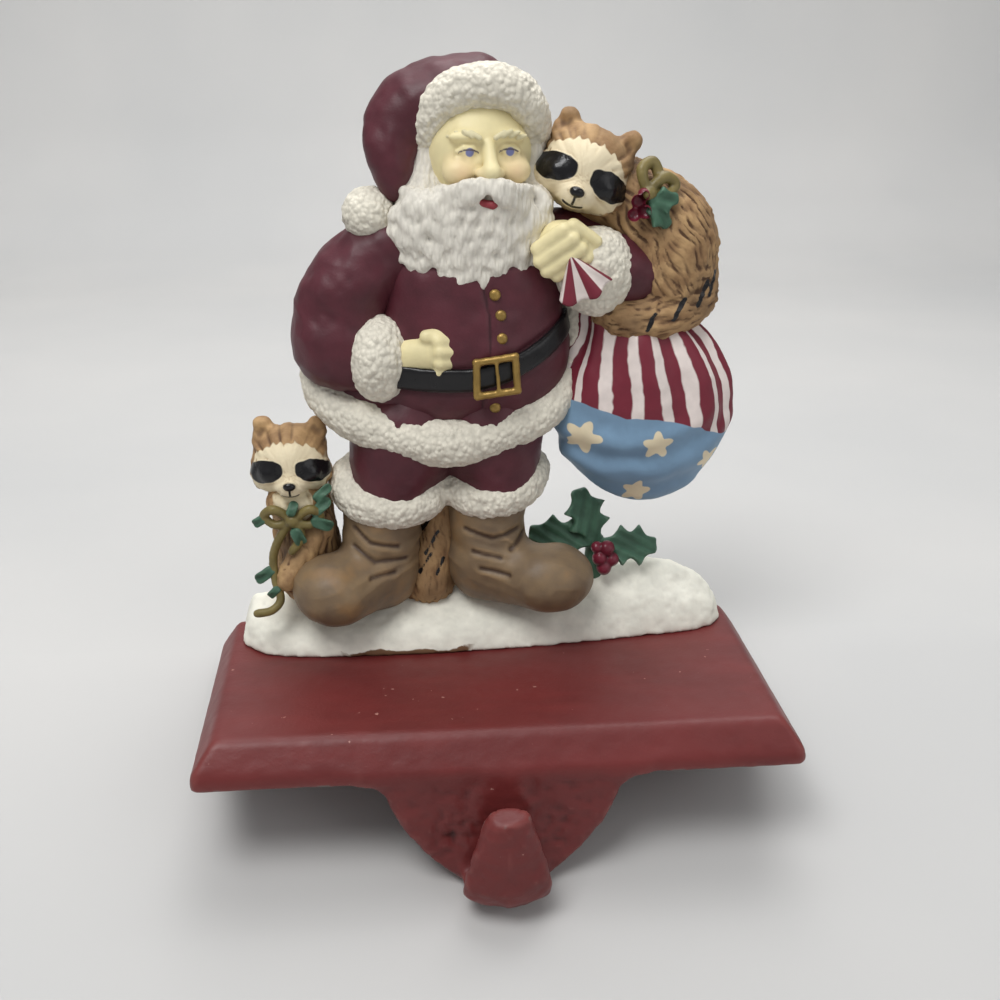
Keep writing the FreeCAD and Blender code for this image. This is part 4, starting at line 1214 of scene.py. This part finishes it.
# Leaves, ribbons and berries
def leaf_field(base, tip, half, facing, spines=3.0, thick=0.9):
    """Spined leaf from base to tip, its face turned to a direction."""
    along = Vector(tip) - Vector(base)
    length = along.length
    along.normalize()
    across = Vector(facing).cross(along).normalized()
    normal = along.cross(across)

    def field(p):
        q = [p[i] - base[i] for i in range(3)]
        t, a, c = [sum(q[i] * v[i] for i in range(3)) for v in (along, across, normal)]
        share = np.clip(t / length, 0, 1)
        scallop = np.abs(np.sin(math.pi * spines * share))
        wide = half * (np.sin(math.pi * np.clip(share * 0.93 + 0.03, 0, 1)) ** 0.6) * (1.0 - 0.42 * scallop)
        bend = 0.5 * np.abs(a) / half * 2.0 + 0.5 * np.sin(share * 4.0) + 0.25 * np.sin(a * 2.1 + t)
        edge = soft_max((np.abs(a) - wide) * 0.75, np.abs(t - 0.5 * length) - 0.5 * length, 0.4)
        return soft_max(edge, np.abs(c - bend) * 0.85 - thick, 0.5)
    return field


def leaf_paint():
    paint = Paint("leaf_green", 0.5)
    tone = paint.over(shade(LEAF_GREEN, 0.8), shade(LEAF_GREEN, 1.25), paint.noise(3.5, 5.0), 0.35, 0.68)
    # Painted highlight on the ridges and painted shade in the hollows
    tone = paint.over(tone, srgb(116, 146, 124), "hollow", -0.08, -0.35)
    tone = paint.over(tone, shade(LEAF_GREEN, 0.4), "hollow", 0.0, 0.25)
    paint.rough(paint.noise(2.5), 0.45, 0.62)
    paint.bump(paint.noise(0.8), 0.06)
    return paint.done(tone)


leaf = leaf_paint()
berry = painted("berry_red", BERRY_RED, 0.35, 1.3, 3.0, (0.22, 0.4), 0.5, 0.04, (-0.05, 0.2))
ribbon = painted("ribbon_olive", RIBBON, 0.4, 1.35, 4.0, (0.35, 0.5), 0.6, 0.04, (-0.02, 0.16))
sprig = join(
    0.4,
    leaf_field((30.4, 55.6, 36.5), (26.0, 57.6, 51.2), 6.6, (0.1, -1, 0.2)),
    leaf_field((30.5, 55.4, 37.0), (12.4, 57.4, 38.8), 6.4, (-0.1, -1, 0.45)),
    leaf_field((32.5, 54.6, 35.4), (48.2, 56.0, 34.4), 6.4, (0.1, -1, 0.5)),
    bone((31, 57, 36), (31, 58, 25), 2.6, 3.2),
)
sculpt("holly", sprig, (10, 48, 24), (51, 64, 54), 0.36, leaf)
HOLLY_BERRIES = [
    (33.4, 51.2, 36.0, 2.1), (31.4, 51.0, 33.2, 2.1), (34.8, 51.4, 32.6, 2.0), (32.6, 50.8, 30.4, 2.1),
    (30.6, 51.6, 36.2, 1.7)]
NECK_BERRIES = [
    (36.6, 40.6, 130.9, 1.8), (38.4, 41.2, 128.4, 1.8), (35.7, 40.4, 127.9, 1.7), (38.2, 41.4, 132.6, 1.6)]
for name, cluster, low, high, seed in (
    ("holly_berries", HOLLY_BERRIES, (27, 47, 26), (38, 55, 40), 141),
    ("neck_berries", NECK_BERRIES, (33, 40, 125), (42, 47, 136), 142),
):
    sculpt(name, join(0.2, *[ball(b[:3], b[3]) for b in cluster]), low, high, 0.28, berry,
           ripple(0.1, 1.2, seed))
neck_leaves = join(
    0.3,
    leaf_field((39.2, 42.0, 130.6), (47.0, 43.0, 131.4), 3.5, (0.3, -1, 0.2), 2.0, 0.8),
    leaf_field((39.4, 41.8, 129.4), (44.8, 42.4, 124.6), 3.4, (0.3, -1, 0.1), 2.0, 0.8),
)
sculpt("neck_leaves", neck_leaves, (36, 39, 124), (50, 50, 139), 0.28, leaf)
seated_leaves = join(0.3, *[
    leaf_field(a, b, w, (0.0, -1, 0.2), 1.0, 0.7) for a, b, w in (
        ((-57.0, 43.6, 51.6), (-61.4, 44.6, 48.6), 2.2), ((-51.6, 41.4, 51.8), (-50.0, 42.4, 55.6), 2.2),
        ((-46.0, 42.6, 51.6), (-41.2, 43.8, 55.6), 2.5), ((-46.4, 42.2, 50.4), (-40.6, 43.6, 47.8), 2.6),
        ((-50.8, 41.6, 48.6), (-48.6, 42.4, 43.6), 2.7), ((-56.4, 44.4, 36.4), (-61.8, 45.4, 32.4), 2.6),
        ((-55.2, 43.0, 31.8), (-58.4, 43.4, 28.4), 1.9), ((-45.4, 43.4, 55.4), (-40.8, 44.8, 59.0), 2.1))])
sculpt("ribbon_leaves", seated_leaves, (-65, 39, 24), (-36, 48, 62), 0.3, leaf)
bow = join(
    0.3,
    tube([
        (-52.0, 42.8, 50.6, 1.1), (-55.6, 42.0, 53.6, 1.15), (-58.4, 43.4, 51.4, 1.1),
        (-55.4, 42.8, 49.0, 1.05)], 0.4, 4, True),
    tube([
        (-50.0, 42.4, 50.6, 1.1), (-46.4, 41.6, 53.6, 1.15), (-43.8, 43.0, 51.2, 1.1),
        (-46.8, 42.2, 49.0, 1.05)], 0.4, 4, True),
    ball((-51.0, 41.8, 50.4), (1.8, 1.5, 1.8)),
    tube([
        (-52.0, 42.6, 49.6, 1.1), (-55.0, 43.6, 44.5, 1.15), (-56.8, 44.8, 39.0, 1.1),
        (-56.4, 43.6, 32.6, 1.1), (-55.2, 42.0, 28.2, 1.05), (-57.6, 40.8, 25.6, 1.05),
        (-61.6, 41.4, 24.6, 1.1)], 0.4, 4),
    tube([(-50.0, 42.0, 49.6, 1.05), (-49.0, 42.4, 45.6, 1.1), (-51.6, 42.4, 41.6, 1.05)], 0.4, 4),
)
neck_ribbon = join(
    0.3,
    tube([
        (39.2, 42.6, 133.6, 1.2), (37.8, 43.6, 138.2, 1.35), (40.8, 45.4, 139.8, 1.4),
        (42.2, 44.2, 135.8, 1.3)], 0.4, 4, True),
    tube([
        (39.8, 42.4, 133.2, 1.2), (43.4, 43.6, 136.4, 1.35), (46.4, 45.0, 134.6, 1.3),
        (44.4, 43.4, 132.4, 1.2)], 0.4, 4, True),
    ball((39.6, 41.8, 132.8), (1.8, 1.6, 1.8)),
)
sculpt("seated_ribbon", bow, (-65, 37, 21), (-38, 50, 58), 0.32, ribbon)
sculpt("neck_ribbon", neck_ribbon, (33, 38, 127), (51, 50, 145), 0.32, ribbon)

# Steel of the hidden screws
steel = Paint("screw_steel", 0.35, 0.9)
steel.rough(steel.noise(0.8), 0.28, 0.46)
steel.bump(steel.noise(0.5, 3.0), 0.04)
steel_material = steel.done(
    steel.over(srgb(150, 150, 152), srgb(186, 186, 188), steel.noise(1.6), 0.4, 0.7))
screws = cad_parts["mounting_screws"]
screws.data.materials.clear()
screws.data.materials.append(steel_material)

# Ground that the holder leans on, and a plain backdrop
GROUND = [
    (-1500, -60), (-180, -60), (-120, -58), (-90, -53), (-60, -46), (-6.5, -30.6), (20, -19.6), (40, -11.4),
    (60, -3.2), (68, -0.3), (74, -0.2), (100, -0.2), (620, -0.2), (700, 8), (752, 40), (782, 96),
    (800, 180), (800, 1500),
]
HALF_GROUND = 1800
ground_mesh = bpy.data.meshes.new("ground")
ground_mesh.from_pydata(
    [(side * HALF_GROUND * MM, y * MM, z * MM) for y, z in GROUND for side in (-1, 1)], [],
    [(2 * i, 2 * i + 1, 2 * i + 3, 2 * i + 2) for i in range(len(GROUND) - 1)])
for polygon in ground_mesh.polygons:
    polygon.use_smooth = True
ground = bpy.data.objects.new("ground", ground_mesh)
bpy.context.scene.collection.objects.link(ground)
ground_white = Paint("ground_white", 0.75)
ground_mesh.materials.append(ground_white.done(
    ground_white.over(srgb(187, 187, 186), srgb(194, 193, 191), ground_white.noise(160.0, 3.0), 0.3, 0.7)))

# Light
world = bpy.data.worlds.new("studio")
bpy.context.scene.world = world
world.use_nodes = True
sky = world.node_tree.nodes["Background"].inputs
sky["Color"].default_value = (0.97, 0.98, 1.0, 1.0)
sky["Strength"].default_value = 0.36
for name, place, target, size, power in (
    ("key", (-0.30, -0.38, 0.88), (0.0, 0.03, 0.07), 0.42, 5.8),
    ("top", (0.12, 0.25, 0.95), (0.0, 0.03, 0.07), 0.6, 3.8),
    ("fill", (0.65, -0.55, 0.45), (0.0, 0.03, 0.07), 0.6, 1.1),
    ("backdrop", (0.0, 0.42, 0.75), (0.0, 0.85, 0.05), 0.7, 2.6),
):
    lamp = bpy.data.lights.new(name, "AREA")
    lamp.size = size
    lamp.energy = power
    holder = bpy.data.objects.new(name, lamp)
    holder.location = place
    holder.rotation_euler = (Vector(target) - Vector(place)).to_track_quat("-Z", "Y").to_euler()
    bpy.context.scene.collection.objects.link(holder)

# Camera
camera = bpy.data.cameras.new("camera")
camera.lens = CAMERA_LENS
camera.sensor_width = 36.0
camera.clip_start, camera.clip_end = 0.01, 20.0
eye = bpy.data.objects.new("camera", camera)
eye.location = [c * MM for c in CAMERA_PLACE]
eye.rotation_euler = (math.radians(90 - CAMERA_PITCH), 0, math.radians(-CAMERA_YAW))
bpy.context.scene.collection.objects.link(eye)
bpy.context.scene.camera = eye
bpy.context.scene.view_settings.view_transform = "Standard"
